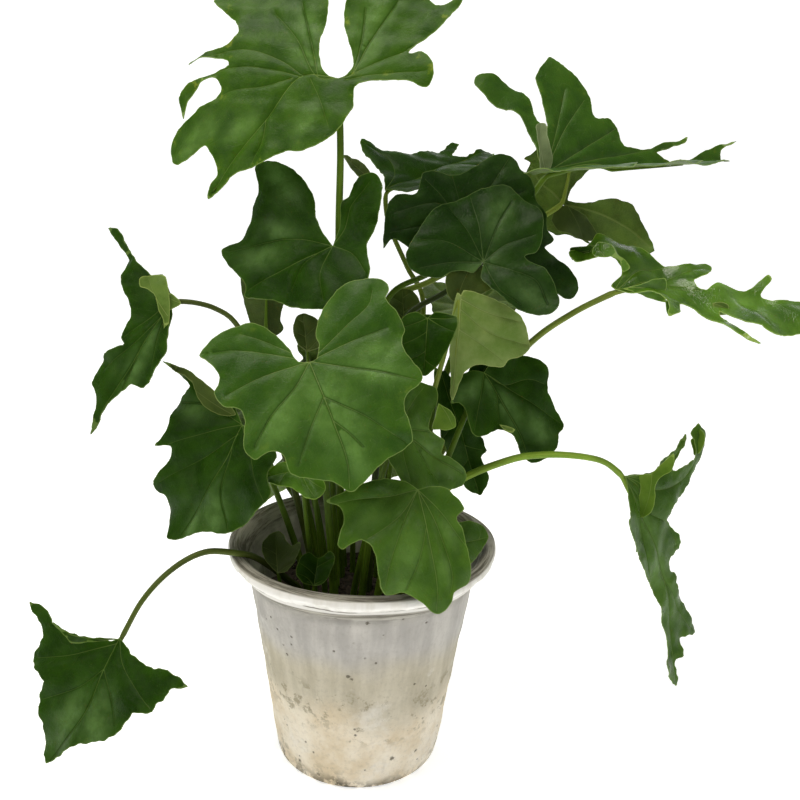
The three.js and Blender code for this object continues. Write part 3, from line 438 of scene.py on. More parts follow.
add_leaf(
    "back_far_right", "dark", "green", foot=(36, 60), girth=(8, 4.8),
    way=[(72, 84, 330)], top=(104, 118, 440),
    turn=(56, 44, -10), length=66, fold=(9, 9), curl=10, droop=26, nape=6,
    ruffle=(5, 6, 2.6), edge=heart_edge(66, -1),
)
add_leaf(
    "back_far_left", "mid", "green", foot=(-46, 52), girth=(8, 4.6),
    way=[(-66, 78, 220)], top=(-98, 98, 262),
    turn=(124, 44, 0), length=86, fold=(7, 7), curl=10, droop=22, nape=8,
    ruffle=(4, 7, 1.3), edge=heart_edge(86, 1),
)
add_leaf(
    "inner_left", "olive", "green", young=True, foot=(-36, -14), girth=(6, 3.4),
    way=[(-48, -16, 290)], top=(-55, -20, 414),
    turn=(115, -66, -33), length=35, fold=(8, 8), curl=5, droop=5, nape=0,
    ruffle=(1, 5, 0.2), edge=[
        (8, 7), (20, 10), (32, 7), (36, -1), (24, -17), (12, -20), (2, -13),
    ],
)
add_leaf(
    "inner_centre", "olive", "green", young=True, foot=(14, 20), girth=(6, 3.4),
    way=[(28, 27, 320)], top=(34, 42, 433),
    turn=(99, -65, 1), length=34, fold=(8, 8), curl=5, droop=5, nape=0,
    ruffle=(1, 5, 0.2), edge=[
        (4, 10), (15, 17), (26, 13), (34, 0), (31, -11), (20, -17), (10, -17), (2, -10),
    ],
)
add_leaf(
    "top", "olive", "green", young=True, foot=(-10, 36), girth=(6, 3),
    way=[(-12, 44, 380)], top=(-5, 50, 568),
    turn=(159, -38, -35), length=32, fold=(10, 10), curl=5, droop=5, nape=0,
    ruffle=(1, 4, 0.2), edge=[
        (5, 8), (16, 7), (32, 0), (25, -6), (16, -9), (0, -4),
    ],
)
add_leaf(
    "under_left", "bright", "green", young=True, foot=(-44, -30), girth=(6, 3.6),
    way=[(-52, -40, 250)], top=(-58, -50, 312),
    turn=(-178, 13, -38), length=40, fold=(5, 5), curl=5, droop=10, nape=0,
    ruffle=(2, 5, 0.2), edge=[
        (-10, 6), (-19, 16), (-20, 27), (-11, 36), (-3, 33), (10, 17), (21, 13), (40, 0),
        (31, -7), (12, -11),
    ],
)
add_leaf(
    "pot_left", "bright", "green", young=True, foot=(-66, -34), girth=(5, 3),
    way=[(-74, -46, 188)], top=(-78, -54, 211),
    turn=(101, -43, -15), length=45, fold=(12, 12), curl=5, droop=10, nape=0,
    ruffle=(1.5, 5, 0.2), edge=[
        (13, 10), (27, 13), (44, 0), (43, -5), (28, -12), (23, -17), (26, -24), (16, -24),
        (6, -17), (0, -9),
    ],
)
add_leaf(
    "pot_right", "bright", "green", young=True, foot=(-42, -54), girth=(5, 3),
    way=[(-44, -60, 184)], top=(-44, -64, 204),
    turn=(82, -58, 9), length=31, fold=(12, 12), curl=5, droop=10, nape=0,
    ruffle=(1.5, 5, 0.2), edge=[
        (2, 11), (10, 18), (20, 17), (27, 13), (30, 8), (26, -1), (33, -12), (27, -17),
        (8, -12), (2, -7),
    ],
)
print(len(leaves), "leaves")


# %% [markdown]
# ## From the flat chart to the living blade
# A paper-thin leaf can be bent without being stretched much: the droop rolls it along its length,
# the curl rolls each half sideways, and the ruffle waves its margin up and down. Bones or a lattice
# could bend a finished mesh too. Sums are used because the CAD blades are bent by the same ones, so
# the finer blades lie where those lie.

# %% Bend a chart
HALF_WIDTH = 100


def bend_step(degrees, span):
    sign = -1 if degrees < 0 else 1
    return sign * max(abs(math.radians(degrees)), 1e-6) / span


def on_blade(leaf, chart, lift=0.0):
    """Where points of the flat chart lie in space, in mm, raised from the blade by lift."""
    x, y = np.asarray(chart, float).T
    ahead = bend_step(leaf["droop"], leaf["length"])
    behind = bend_step(-leaf["nape"], leaf["length"])
    along = np.where(x >= 0, ahead, behind)
    pitch = along * x
    curl = bend_step(leaf["curl"], HALF_WIDTH)
    left, right = (math.radians(degrees) for degrees in leaf["fold"])
    start = np.where(y >= 0, left, right)
    end = start - curl * np.abs(y)
    across = np.sign(y) * (np.sin(start) - np.sin(end)) / curl
    height, count, phase = leaf["ruffle"]
    reach = np.minimum(np.hypot(x, y) / leaf["length"], 1.2)
    wave = height * reach**2 * np.sin(count * np.arctan2(y, x) + phase)
    rise = (np.cos(end) - np.cos(start)) / curl + wave + lift
    local = np.stack([np.sin(pitch) / along + np.sin(pitch) * rise, across,
                      (np.cos(pitch) - 1) / along + np.cos(pitch) * rise], axis=1)
    heading, dip, roll = (math.radians(degrees) for degrees in leaf["turn"])
    turn = Matrix.Rotation(heading, 3, "Z") @ Matrix.Rotation(dip, 3, "Y") @ Matrix.Rotation(roll, 3, "X")
    return local @ np.array(turn).T + np.array(leaf["top"], float)


print("tip of", leaves[0]["name"], "at", on_blade(leaves[0], [(leaves[0]["length"], 0)])[0].round(1))


# %% [markdown]
# ## Veins
# A selloum's blade has a midrib, and side veins that fan out from the petiole's top, one into each
# lobe. They could be drawn in a picture, but as lines they shape both the net and the paint. On the
# large leaves they are laid out one by one: each list of places on the chart is a vein that runs
# through them. The first vein of a leaf is its midrib.

# %% Veins of the large leaves
VEINS = {
    "top_left": [
        [(0, 0), (24, -23), (72, -14), (108, -10), (150, -3)], [(0, 0), (13, -12), (3, -57), (0, -95)],
        [(13, -12), (0, -36), (-25, -86)], [(22, -22), (28, -50), (45, -83), (88, -112)],
        [(24, -23), (39, -48), (63, -76), (90, -88), (122, -84)],
        [(32, -28), (55, -41), (81, -62), (112, -68), (156, -56)], [(19, -16), (25, 5), (36, 32)],
        [(0, 0), (-10, 6), (-36, -6), (-67, -17), (-90, -24)], [(-12, 6), (-41, -17), (-62, -38)],
        [(-12, 6), (-42, 14), (-60, 21), (-92, 24), (-120, 21)], [(-3, 6), (-32, 25), (-60, 49)],
        [(72, -14), (86, -2), (109, 8)],
    ],
    "top_right": [
        [(0, 0), (58, 5), (110, -22), (195, 1)], [(-1, -3), (-1, 18), (-12, 59), (-43, 101)],
        [(-1, -3), (12, 45), (34, 116)], [(0, 1), (21, 41), (44, 89)], [(0, 1), (31, 44), (62, 77)],
        [(0, 0), (34, 17), (87, 43)], [(15, 5), (60, 11), (105, 15), (158, 27)],
    ],
    "back_right": [
        [(0, 0), (37, 4), (93, 1)], [(0, 0), (10, -10), (20, -25), (41, -39)],
        [(0, 0), (-8, 39), (-24, 73), (-39, 93)], [(0, 0), (-17, 26), (-40, 33)],
        [(0, 0), (-14, -5), (-28, 0)],
    ],
    "right_high": [
        [(0, 0), (41, 12), (100, -2), (160, -19)], [(0, 1), (7, 21), (-12, 44), (-24, 53)],
        [(2, 1), (24, 25), (47, 36)], [(13, 4), (51, 22), (84, 36)], [(32, 10), (89, 4), (135, 20)],
        [(23, 6), (72, -27), (104, -53)],
    ],
    "right_low": [
        [(0, 0), (89, 14), (147, 15), (230, -4)], [(0, 0), (22, 40), (18, 73), (7, 99)],
        [(0, 0), (22, 15), (44, 9)], [(3, 3), (36, 44), (40, 101), (8, 128)],
        [(10, 3), (50, 21), (77, 46), (104, 52)], [(45, 6), (81, -3), (109, -9)],
        [(117, 14), (169, 30), (200, 42)],
    ],
    "left_high": [
        [(0, 0), (73, 1), (142, 2)], [(0, 0), (28, 9), (65, 26)],
        [(0, 0), (-5, -26), (-12, -77), (-14, -99)], [(3, -1), (30, -11), (54, -21)],
        [(18, 0), (54, -8), (90, -22)], [(54, 1), (85, 6), (106, 14)],
    ],
    "left_middle": [
        [(0, 0), (35, 7), (71, 9), (119, 5)], [(0, 0), (4, -39), (19, -70)],
        [(0, 0), (27, -27), (59, -57)], [(9, 3), (39, -12), (93, -46)], [(0, 0), (26, 43), (38, 70)],
        [(23, 6), (65, 27), (83, 48)],
    ],
    "left_low": [
        [(0, 0), (28, 5), (65, 13), (117, 3)], [(5, 1), (16, -10), (36, -31), (56, -60)],
        [(0, 0), (20, -32), (24, -66), (20, -87)], [(28, 5), (52, -7), (81, -34)],
        [(0, 0), (14, 18), (25, 53), (28, 68)], [(0, 0), (3, 46), (-3, 85)],
        [(28, 5), (44, 30), (57, 45)],
    ],
    "front_centre": [
        [(0, 0), (38, 3), (56, 4), (90, 5), (112, 0)], [(0, 0), (18, -17), (36, -43), (56, -63)],
        [(0, 0), (2, -43), (8, -73)], [(0, 0), (-20, -37), (-29, -58), (-35, -83)],
        [(0, 0), (-27, -29), (-42, -49)], [(0, 0), (-13, 26), (-21, 41), (-32, 63), (-44, 70)],
        [(0, 0), (-5, 39), (-7, 71)], [(0, 0), (18, 33), (28, 53), (45, 80)],
        [(34, 3), (45, 15), (60, 31), (76, 44), (89, 55)], [(55, 4), (68, 13), (83, 21)],
        [(33, 3), (56, -16), (80, -33)],
    ],
    "upper_left": [
        [(0, 0), (31, 11), (62, 20), (84, 29)], [(0, 0), (30, -11), (68, -16), (104, -15)],
        [(12, 4), (28, 16), (40, 38)], [(0, 0), (11, 25), (8, 53)],
        [(0, 0), (13, -25), (40, -41), (74, -55)], [(0, 0), (16, -41), (44, -83)],
        [(0, 0), (-13, -15), (-21, -35), (-38, -54)], [(0, 0), (-18, 11), (-31, 33)],
    ],
    "upper_back": [
        [(0, 0), (44, 1), (87, -8)], [(0, 0), (23, 38), (0, 75)], [(0, 0), (28, 36), (39, 59)],
        [(0, 0), (33, 23), (56, 40)], [(0, 0), (43, -14), (65, -33)], [(0, 0), (0, 40), (-19, 72)],
    ],
    "upper_centre": [
        [(0, 0), (33, 14), (58, 28)], [(0, 0), (23, 21), (42, 44)], [(0, 0), (20, -14), (37, -38)],
        [(0, 0), (8, 33), (4, 62)], [(0, 0), (-8, 25), (-23, 53)],
        [(0, 0), (-2, -26), (-6, -49), (-24, -65)], [(0, 0), (-23, -21), (-30, -42)],
        [(0, 0), (37, -3), (66, -9)],
    ],
    "pale_young": [
        [(0, 0), (46, 0), (90, 0)], [(3, 0), (12, 23), (18, 57)], [(12, 0), (30, 29), (38, 66)],
        [(30, 0), (43, 26), (54, 45)], [(6, 0), (22, -18), (30, -36)],
    ],
    "right_middle": [
        [(0, 0), (50, 0), (97, -1)], [(0, 0), (20, 10), (29, 35), (41, 46)], [(0, 0), (36, 18), (84, 45)],
        [(0, 0), (19, -22), (38, -43)], [(21, 0), (42, -10), (52, -14)],
    ],
    "over_rim": [
        [(0, 0), (37, 1), (79, 2), (103, -1)], [(0, 0), (21, -20), (37, -53), (41, -72)],
        [(0, 0), (29, -19), (57, -34), (78, -42)], [(0, 0), (3, -25), (2, -60), (3, -75)],
        [(0, 0), (38, 11), (77, 16), (89, 12)], [(0, 0), (27, 18), (54, 32)],
        [(33, 1), (61, -10), (83, -23)],
    ],
    "centre_low": [
        [(0, 0), (41, 0), (76, 3)], [(0, 0), (27, 15), (44, 20)], [(4, 0), (19, -22), (31, -36)],
        [(15, 0), (45, -13), (60, -17)], [(0, 0), (1, 33), (4, 51)],
    ],
}
print(sum(len(lines) for lines in VEINS.values()), "veins on", len(VEINS), "leaves")


# %% [markdown]
# ## Measuring on the chart
# To lay a net over a blade, two questions have to be answered for thousands of points: does a point
# lie inside the margin, and how far is it from the nearest line? Blender's own helpers answer such
# questions for one point at a time. Written with arrays, all points are done at once.

# %% Inside, and nearest
def inside(points, ring):
    x, y = points[:, 0, None], points[:, 1, None]
    ax, ay = ring.T
    bx, by = np.roll(ring, -1, axis=0).T
    crosses = (ay > y) != (by > y)
    with np.errstate(divide="ignore", invalid="ignore"):
        hit = x < (bx - ax) * (y - ay) / (by - ay) + ax
    return (crosses & hit).sum(axis=1) % 2 == 1


def nearest(points, starts, ends):
    """Distance from each point to the nearest of many short lines, which one, and how far along it."""
    way = ends - starts
    size = np.maximum((way**2).sum(axis=1), 1e-9)
    off = points[:, None, :] - starts[None]
    share = np.clip((off * way).sum(axis=2) / size, 0, 1)
    gaps = np.linalg.norm(off - share[..., None] * way, axis=2)
    best = gaps.argmin(axis=1)
    row = np.arange(len(points))
    return gaps[row, best], best, share[row, best]


square = np.array([(0, 0), (10, 0), (10, 10), (0, 10)], float)
print("inside a square:", inside(np.array([(5, 5), (15, 5)], float), square))


# %% [markdown]
# ## Veins by rule
# The small and the far leaves get their veins by rule: each corner of the margin that stands out
# gets a slightly bowed vein, bowed more where a straight one would leave the blade at the notch.

# %% Lay the veins on the chart
SHARP_DEGREES = 9
BOWS = (0.08, 0.0, 0.16, 0.24, 0.34, 0.44, 0.54)
KEPT_POINTS = 6


def bowed(start, end, bow, step=3.0):
    start, end = np.asarray(start, float), np.asarray(end, float)
    way = end - start
    middle = (start + end) / 2 + bow * np.array([-way[1], way[0]])
    count = max(3, round(np.linalg.norm(way) / step))
    t = np.linspace(0, 1, count)[:, None]
    return (1 - t) ** 2 * start + 2 * t * (1 - t) * middle + t**2 * end


def veins_by_rule(leaf, margin):
    edge = np.array([(0, 0), *leaf["edge"], (0, 0)], float)
    length = leaf["length"]
    tip = int(np.hypot(edge[:, 0] - length, edge[:, 1]).argmin())
    veins = [bowed((0, 0), edge[tip] * 0.985, 0.0)]
    for side, hand in ((edge[:tip + 1], 1), (edge[tip:][::-1], -1)):
        found = []
        for before, corner, after in zip(side, side[1:], side[2:]):
            a, b = corner - before, after - corner
            outward = -hand * (a[0] * b[1] - a[1] * b[0])
            found.append((math.degrees(math.atan2(outward, a @ b)), corner))
        taken = [edge[tip]]
        for sharp, corner in sorted(found, key=lambda item: -item[0]):
            far = min(np.linalg.norm(corner - other) for other in taken)
            if sharp > SHARP_DEGREES and far > 0.24 * length and np.linalg.norm(corner) > 0.28 * length:
                taken.append(corner)
        for corner in taken[1:]:
            start = np.array([np.clip(corner[0] - 0.62 * abs(corner[1]), 0, 0.8 * length), 0])
            end = start + (corner - start) * 0.95
            for bow in BOWS:
                line = bowed(start, end, -hand * bow)
                middle = line[1:-1]
                gap, *_ = nearest(middle, margin, np.roll(margin, -1, axis=0))
                if inside(middle, margin).all() and gap.min() > 2.0:
                    veins.append(line)
                    break
    return veins


def vein_lines(leaf, margin):
    """Each vein as a string of points on the chart, with its strength."""
    if "parent" in leaf:
        line = bowed((0, 0), (leaf["length"], 0), 0.1)
        return [(line[inside(line, margin)], 0.7)]
    if leaf["name"] not in VEINS:
        lines = veins_by_rule(leaf, margin)
    else:
        lines = []
        for stops in VEINS[leaf["name"]]:
            line = smooth_line(stops, 3.0)
            kept = inside(line, margin) & (nearest(line, margin, np.roll(margin, -1, axis=0))[0] > 0.8)
            kept[:KEPT_POINTS] = True
            lines.append(line[:len(line) if kept.all() else int(kept.argmin())])
    strengths = [1.0] + [0.75 if np.linalg.norm(line[0]) < 6 else 0.55 for line in lines[1:]]
    return list(zip(lines, strengths))


print("leaves with veins by rule:", sum(leaf["name"] not in VEINS for leaf in leaves))


# %% [markdown]
# ## A blade's outline
# A real margin is never a clean curve: it wavers a little, and old leaves are torn and nicked. A
# picture with cut-outs could fray it, but it would look flat close up. So the outline itself is
# roughened. A curve goes through the points of the table, and each of its points then moves a
# little out or in.

# %% Draw the outline
MARGIN_STEP = 2.2
PLAIN_NICKS = 0.35
RAGGED = {
    "left_low": 0.8, "right_low": 0.9, "crest": 0.8, "crumpled": 0.7, "back_right": 0.5, "left_high": 0.5,
}


def outline_of(leaf):
    """The closed margin on the chart, as points about MARGIN_STEP apart."""
    if "parent" in leaf:
        start, *others = leaf["edge"]
    else:
        start, others = (0, 0), leaf["edge"]
    firm = 0.5 if leaf["name"] in RAGGED else 0.2
    margin = smooth_line([start, *others, start], MARGIN_STEP, firm)[:-1]
    draw = np.random.default_rng(len(margin))
    way = np.roll(margin, -1, axis=0) - np.roll(margin, 1, axis=0)
    way /= np.maximum(np.linalg.norm(way, axis=1), 1e-9)[:, None]
    run = np.arange(len(margin)) * MARGIN_STEP
    nick = np.sin(run / 1.9 + draw.uniform(0, 6)) * np.sin(run / 8.3 + draw.uniform(0, 6))
    nick *= np.minimum(np.hypot(*margin.T) / 20, 1) * RAGGED.get(leaf["name"], PLAIN_NICKS)
    return margin + nick[:, None] * np.stack([way[:, 1], -way[:, 0]], axis=1)


print("points round", leaves[0]["name"] + ":", len(outline_of(leaves[0])))


# %% [markdown]
# ## A blade's net
# A fine net of triangles has to follow the margin and the veins, because a vein that cuts across
# faces looks like a saw. An even grid can't do that. So the margin, the veins and the two flanks of
# each vein go into a triangulation as fixed lines, with a field of loose points between them.

# %% Lay the net
FIELD_STEP = 3.2
ROW_STEP = 0.866 * FIELD_STEP
VEIN_HALF_WIDTH = 0.85


def vein_lanes(line, strength):
    """A vein's middle line and its two flanks, which draw together towards its end."""
    way = np.gradient(line, axis=0)
    way /= np.maximum(np.linalg.norm(way, axis=1), 1e-9)[:, None]
    side = np.stack([-way[:, 1], way[:, 0]], axis=1)
    taper = np.linspace(1, 0.45, len(line))[:, None] * VEIN_HALF_WIDTH * (0.6 + 0.6 * strength)
    return line, line + side * taper, line - side * taper


def short_lines(veins):
    """The starts and the ends of all the short lines that the veins are strung from."""
    return np.vstack([line[:-1] for line, _ in veins]), np.vstack([line[1:] for line, _ in veins])


def field_of(margin, veins):
    """Loose points in staggered rows, clear of the margin and the veins."""
    low, high = margin.min(axis=0), margin.max(axis=0)
    rows = []
    for k, y in enumerate(np.arange(low[1], high[1], ROW_STEP)):
        x = np.arange(low[0] + FIELD_STEP / 2 * (k % 2), high[0], FIELD_STEP)
        rows.append(np.stack([x, np.full(len(x), y)], axis=1))
    field = np.vstack(rows)
    field = field[inside(field, margin)]
    field = field[nearest(field, margin, np.roll(margin, -1, axis=0))[0] > 0.55 * FIELD_STEP]
    return field[nearest(field, *short_lines(veins))[0] > 0.7 * FIELD_STEP]


def net_of(leaf):
    """The net on the chart: its points and triangles, with the margin and the veins it follows."""
    margin = outline_of(leaf)
    veins = vein_lines(leaf, margin)
    points = [margin[::-1]]
    edges = []
    size = len(margin)
    for line, strength in veins:
        for lane in vein_lanes(line, strength):
            keep = inside(lane, margin)
            keep &= nearest(lane, margin, np.roll(margin, -1, axis=0))[0] > 0.5
            if lane is line:
                keep[0] = True
            lane = lane[keep]
            edges += [(size + k, size + k + 1) for k in range(len(lane) - 1)]
            size += len(lane)
            points.append(lane)
    points.append(field_of(margin, veins))
    flat = [Vector(point) for point in np.vstack(points)]
    edges += [(k, (k + 1) % len(margin)) for k in range(len(margin))]
    found, _, faces, *_ = delaunay_2d_cdt(flat, edges, [], 0, 1e-4, False)
    chart = np.array([tuple(point) for point in found])
    centres = chart[np.array(faces)].mean(axis=1)
    faces = [face for face, kept in zip(faces, inside(centres, margin)) if kept]
    return chart, faces, margin, veins


print("triangles on one side of", leaves[0]["name"] + ":", len(net_of(leaves[0])[1]))


# %% [markdown]
# ## A blade's skin
# Between its veins a selloum's blade puffs up like a quilt, and along them it sinks. It is crinkled
# all over, frilled along the margin, and some leaves wave strongly. A displacement map could do
# this, but it would need a picture for each leaf. Here every point is lifted by a few sine waves,
# held back near the veins and the petiole's top.

# %% Lift the skin
PLAIN_QUILT = 2.0
WAVES = {
    "right_high": 4.6, "upper_centre": 2.6, "right_middle": 2.6, "over_rim": 2.2, "centre_low": 2.6,
    "left_middle": 2.4, "crest": 2.2, "crumpled": 2.4, "right_low": 2.0, "upper_left": 1.8, "left_high": 1.6,
}


def sway_of(leaf, x, y):
    """How far a wavy leaf's skin stands off its plain bend, away from the petiole's top."""
    start = leaf["length"]
    sway = np.sin(x / 10.5 + y / 16 + start) + 0.7 * np.sin(y / 9.5 - x / 21 + 2 * start)
    return sway * WAVES.get(leaf["name"], 0.0) * np.minimum(np.hypot(x, y) / 25, 1) / 1.7


def skin_lift(leaf, chart, vein_gap, margin_gap, margin_run, seed):
    """How far each point of the net is raised from the plain bend, in mm."""
    x, y = chart.T
    draw = np.random.default_rng(seed)
    phases = draw.uniform(0, 2 * math.pi, 5)
    quilt = leaf.get("quilt", PLAIN_QUILT)
    puff = quilt * (1 - np.exp(-vein_gap / 3.5)) * (1 - 0.55 * np.exp(-margin_gap / 7))
    crinkle = (0.85 * np.sin(x / 7.5 + phases[0]) * np.sin(y / 8.5 + phases[1])
               + 0.40 * np.sin(x / 3.9 + y / 5.1 + phases[2])) * (1 - np.exp(-vein_gap / 4))
    frill = 1.3 * np.sin(margin_run / 6.1 + phases[3]) + 0.9 * np.sin(margin_run / 10.7 + phases[4])
    frill = np.exp(-margin_gap / 9) * frill
    far = np.minimum(np.hypot(x, y) / 25, 1)
    return puff + crinkle * quilt / 2 + frill * far + sway_of(leaf, x, y)


print("the strongest wave is", max(WAVES.values()), "mm high")


# %% [markdown]
# ## Painted sheens
# Waxy leaves shine softly where they turn towards the light. A stronger lamp would brighten all of
# them alike, so these sheens are painted highlights: the spots are given leaf by leaf, as a place on
# the chart and a size, and lightened into the colour. Each is drawn out along the line from the
# petiole's top.

# %% Place the sheens
SHEENS = {
    "left_middle": [(82, 29, 20), (17, -55, 13), (101, 12, 12)],
    "left_low": [(81, 1, 20), (68, 30, 20)],
    "upper_left": [(46, -71, 18), (52, -92, 16), (72, -2, 16), (52, -24, 12)],
    "right_middle": [(6, -25, 12), (10, -3, 8), (43, 2, 14), (75, 19, 14)],
    "upper_centre": [(48, -2, 16), (-18, -47, 14), (-4, 4, 12)],
    "right_low": [(60, 12, 20), (116, 10, 26)],
    "top_left": [
        (-13, -55, 18), (9, -35, 12), (-58, -26, 20), (-36, -5, 14), (126, -54, 13), (93, -25, 12),
        (47, 15, 12), (142, -51, 9),
    ],
    "over_rim": [(55, -19, 16), (40, 17, 10), (84, -26, 12), (72, 9, 9), (20, -46, 10)],
    "front_centre": [(45, 6, 30), (26, 48, 18), (42, -36, 18), (84, 12, 16), (13, 60, 14)],
    "centre_low": [(36, 1, 16), (62, 1, 12), (24, 12, 12)],
    "left_high": [(72, 7, 14), (44, 7, 10)],
    "right_high": [(-6, 45, 9), (113, 0, 14), (94, 11, 9), (49, 6, 8)],
}


def sheen_spots_on(leaf, x, y):
    """How much painted sheen each point gets: 1 in the middle of a sheen spot, 0 away from all."""
    painted_sheen = np.zeros(len(x))
    for spot_x, spot_y, size in SHEENS.get(leaf["name"], []):
        away = math.hypot(spot_x, spot_y)
        ahead = ((x - spot_x) * spot_x + (y - spot_y) * spot_y) / away
        aside = ((x - spot_x) * spot_y - (y - spot_y) * spot_x) / away
        painted_sheen = np.maximum(painted_sheen, np.exp(-(ahead / (1.5 * size)) ** 2 - (aside / (0.7 * size)) ** 2))
    return painted_sheen


print(sum(len(spots) for spots in SHEENS.values()), "sheens on", len(SHEENS), "leaves")


# %% [markdown]
# ## A whole blade
# The net, the lift and the bend come together here. The materials later need to know where on the
# leaf they are, so each vertex keeps its place on the chart and its distance to vein and margin.
# Solidify then gives the blade its thickness, with the upper side's finish on one face and the
# underside's on the other.

# %% Build one blade
BLADE_THICKNESS = 0.75
CHART_UNIT = 100


def blade_piece(leaf, name, finish, seed):
    """One blade or folded lobe as a mesh with both finishes."""
    chart, faces, margin, veins = net_of(leaf)
    starts, ends = short_lines(veins)
    vein_gap, which, share = nearest(chart, starts, ends)
    steps = np.linalg.norm(ends - starts, axis=1)
    runs = [np.cumsum(np.linalg.norm(np.diff(line, axis=0), axis=1)) for line, _ in veins]
    before = np.concatenate(runs) - steps
    ranks = np.concatenate([strength * np.linspace(1, 0.4, len(line) - 1) for line, strength in veins])
    margin_gap, place, _ = nearest(chart, margin, np.roll(margin, -1, axis=0))
    lift = skin_lift(leaf, chart, vein_gap, margin_gap, place * MARGIN_STEP, seed)
    piece = new_object(name, on_blade(leaf, chart, lift), faces)
    x, y = chart.T
    # Painted sheen: how strongly each point's colour is lightened as a highlight.
    note(piece, "painted_sheen", sheen_spots_on(leaf, x, y))
    note(piece, "chart", np.stack([x, y, np.zeros_like(x)], axis=1) / CHART_UNIT)
    note(piece, "vein_gap", vein_gap)
    note(piece, "vein_run", before[which] + share * steps[which])
    note(piece, "vein_rank", ranks[which])
    note(piece, "margin_gap", margin_gap)
    for material in finish:
        piece.data.materials.append(material)
    solid = piece.modifiers.new("thickness", "SOLIDIFY")
    solid.thickness = BLADE_THICKNESS * MM
    solid.offset = 0
    solid.material_offset = 1
    solid.use_even_offset = False
    apply_all(piece)
    smooth_all(piece, 70)
    return piece


print("blades are", BLADE_THICKNESS, "mm thick")


# %% [markdown]
# ## Lobes that fold over
# A few basal lobes curl over and show their other side, or stand up in front of their own blade. One
# bend for the whole blade can't do that, and bending a lobe by hand would tear the net. So the folded
# part is a small blade of its own that grows out of the large one at the fold.

# %% Folded lobes
flaps = []


def add_flap(parent, colour, top, turn, length, edge, curl=30, droop=18):
    flaps.append({
        "name": f"flap_{len(flaps)}", "parent": parent, "colour": colour, "top": top, "turn": turn,
        "length": length, "edge": edge, "curl": curl, "droop": droop, "nape": 10, "fold": (4, 4),
        "ruffle": (0.8, 2, len(flaps)), "quilt": 0.8,
    })


add_flap("right_low", "fresh", top=(285, 14, 293), turn=(-130, 70, -19), length=47, edge=[
    (0, -1), (-13, 7), (-25, 15), (-17, 18), (-8, 17), (2, 8), (11, 6), (25, 9), (36, 8), (43, 3),
    (47, -10), (38, -11), (21, -7), (12, -9), (7, -22),
])
add_flap("right_low", "fresh", top=(353, 75, 294), turn=(96, -71, -27), length=32, edge=[
    (6, 4), (16, 6), (22, 1), (28, 2), (32, -1), (27, -5), (20, -9), (11, -7), (3, -3), (0, 3),
])
add_flap("left_high", "lime", top=(-179, -20, 443), turn=(173, -64, -68), length=40, curl=90, edge=[
    (-10, 4), (-26, 16), (-1, 5), (8, 5), (20, 2), (28, 5), (33, 10), (39, 8), (40, 4), (37, -8),
    (32, -14), (25, -12), (15, -9), (2, -3),
])
add_flap("left_high", "lime", top=(-169, -14, 454), turn=(-172, -27, -80), length=13, edge=[
    (5, 10), (11, 6), (13, 1), (12, -4), (5, -3), (-1, 0),
])
add_flap("left_middle", "olive", top=(-123, -22, 354), turn=(176, -38, -70), length=75, edge=[
    (2, 4), (10, 8), (20, 10), (30, 9), (40, 4), (47, 0), (57, 0), (68, 2), (75, 0), (63, -5), (54, -7),
    (42, -7), (28, -7), (12, -6), (-3, -2),
])
add_flap("right_high", "wet", top=(233, -1, 491), turn=(158, -41, -82), length=40, edge=[
    (3, 1), (12, -5), (20, -3), (27, 5), (35, 8), (40, 2), (39, -4), (33, -8), (27, -10), (18, -8),
    (8, -9), (1, -7),
])
add_flap("right_high", "dark", top=(208, 27, 510), turn=(166, 8, -85), length=21, edge=[
    (2, 2), (13, 4), (19, 8), (21, 4), (21, -3), (6, -4), (-2, -4),
])
add_flap("right_high", "wet", top=(231, -12, 480), turn=(-17, 2, 83), length=37, edge=[
    (-2, -1), (13, 5), (25, 11), (34, 12), (36, 5), (35, -4), (37, -9), (23, -7), (9, -3),
])
add_flap("right_high", "light", top=(264, -29, 473), turn=(-34, 63, 74), length=15, edge=[
    (0, -1), (3, 4), (10, 8), (14, 7), (15, 3), (14, -3), (8, -3),
])
add_flap("right_high", "lime", top=(306, -31, 471), turn=(-25, 19, 82), length=15, edge=[
    (-1, 0), (5, 4), (12, 4), (15, -3), (9, -7), (4, -5),
])
add_flap("centre_low", "fresh", top=(67, -31, 371), turn=(-29, 56, 62), length=25, edge=[
    (-2, -1), (3, 2), (10, 6), (18, 6), (25, 3), (25, -2), (20, -11), (16, -17), (8, -10),
])
add_flap("left_low", "dark", top=(-214, -97, 166), turn=(-171, -14, -59), length=58, edge=[
    (11, 3), (27, 7), (38, 9), (45, 4), (54, -2), (58, -6), (50, -2), (40, 2), (28, 3), (15, 1),
    (-1, 0),
])
add_flap("top_right", "silver", top=(162, 48, 580), turn=(171, -80, -92), length=44, edge=[
    (0, 5), (20, 4), (44, 4), (44, -4), (32, -5), (18, -7), (11, -8), (-1, -3),
])
add_flap("pale_young", "olive", top=(79, -15, 465), turn=(14, -67, 69), length=37, edge=[
    (-1, -2), (-3, 3), (0, 9), (7, 15), (15, 18), (23, 14), (31, 9), (37, 0), (37, -10), (31, -17),
    (23, -24), (11, -16), (6, -7),
])
add_flap("back_right", "shade", top=(199, 114, 548), turn=(-16, 61, 87), length=45, edge=[
    (7, -20), (-1, -11), (1, 0), (7, 5), (17, 12), (32, 15), (43, 15), (45, 7), (39, -2), (26, -11),
    (19, -19),
])
add_flap("right_middle", "lime", top=(125, -16, 348), turn=(-13, 14, 73), length=15, edge=[
    (-1, 1), (6, 2), (15, 1), (14, -2), (7, -3),
])
add_flap("right_middle", "dark", top=(105, 6, 384), turn=(16, -58, 63), length=32, edge=[
    (3, 13), (13, 15), (23, 10), (29, 2), (32, -8), (29, -18), (17, -19), (4, -11), (-2, 1),
])
add_flap("inner_right", "dark", top=(52, -44, 444), turn=(48, -77, 37), length=12, edge=[
    (5, 15), (9, 9), (12, -1), (12, -12), (4, -15), (-2, -4), (-2, 8),
])
print(len(flaps), "folded lobes")


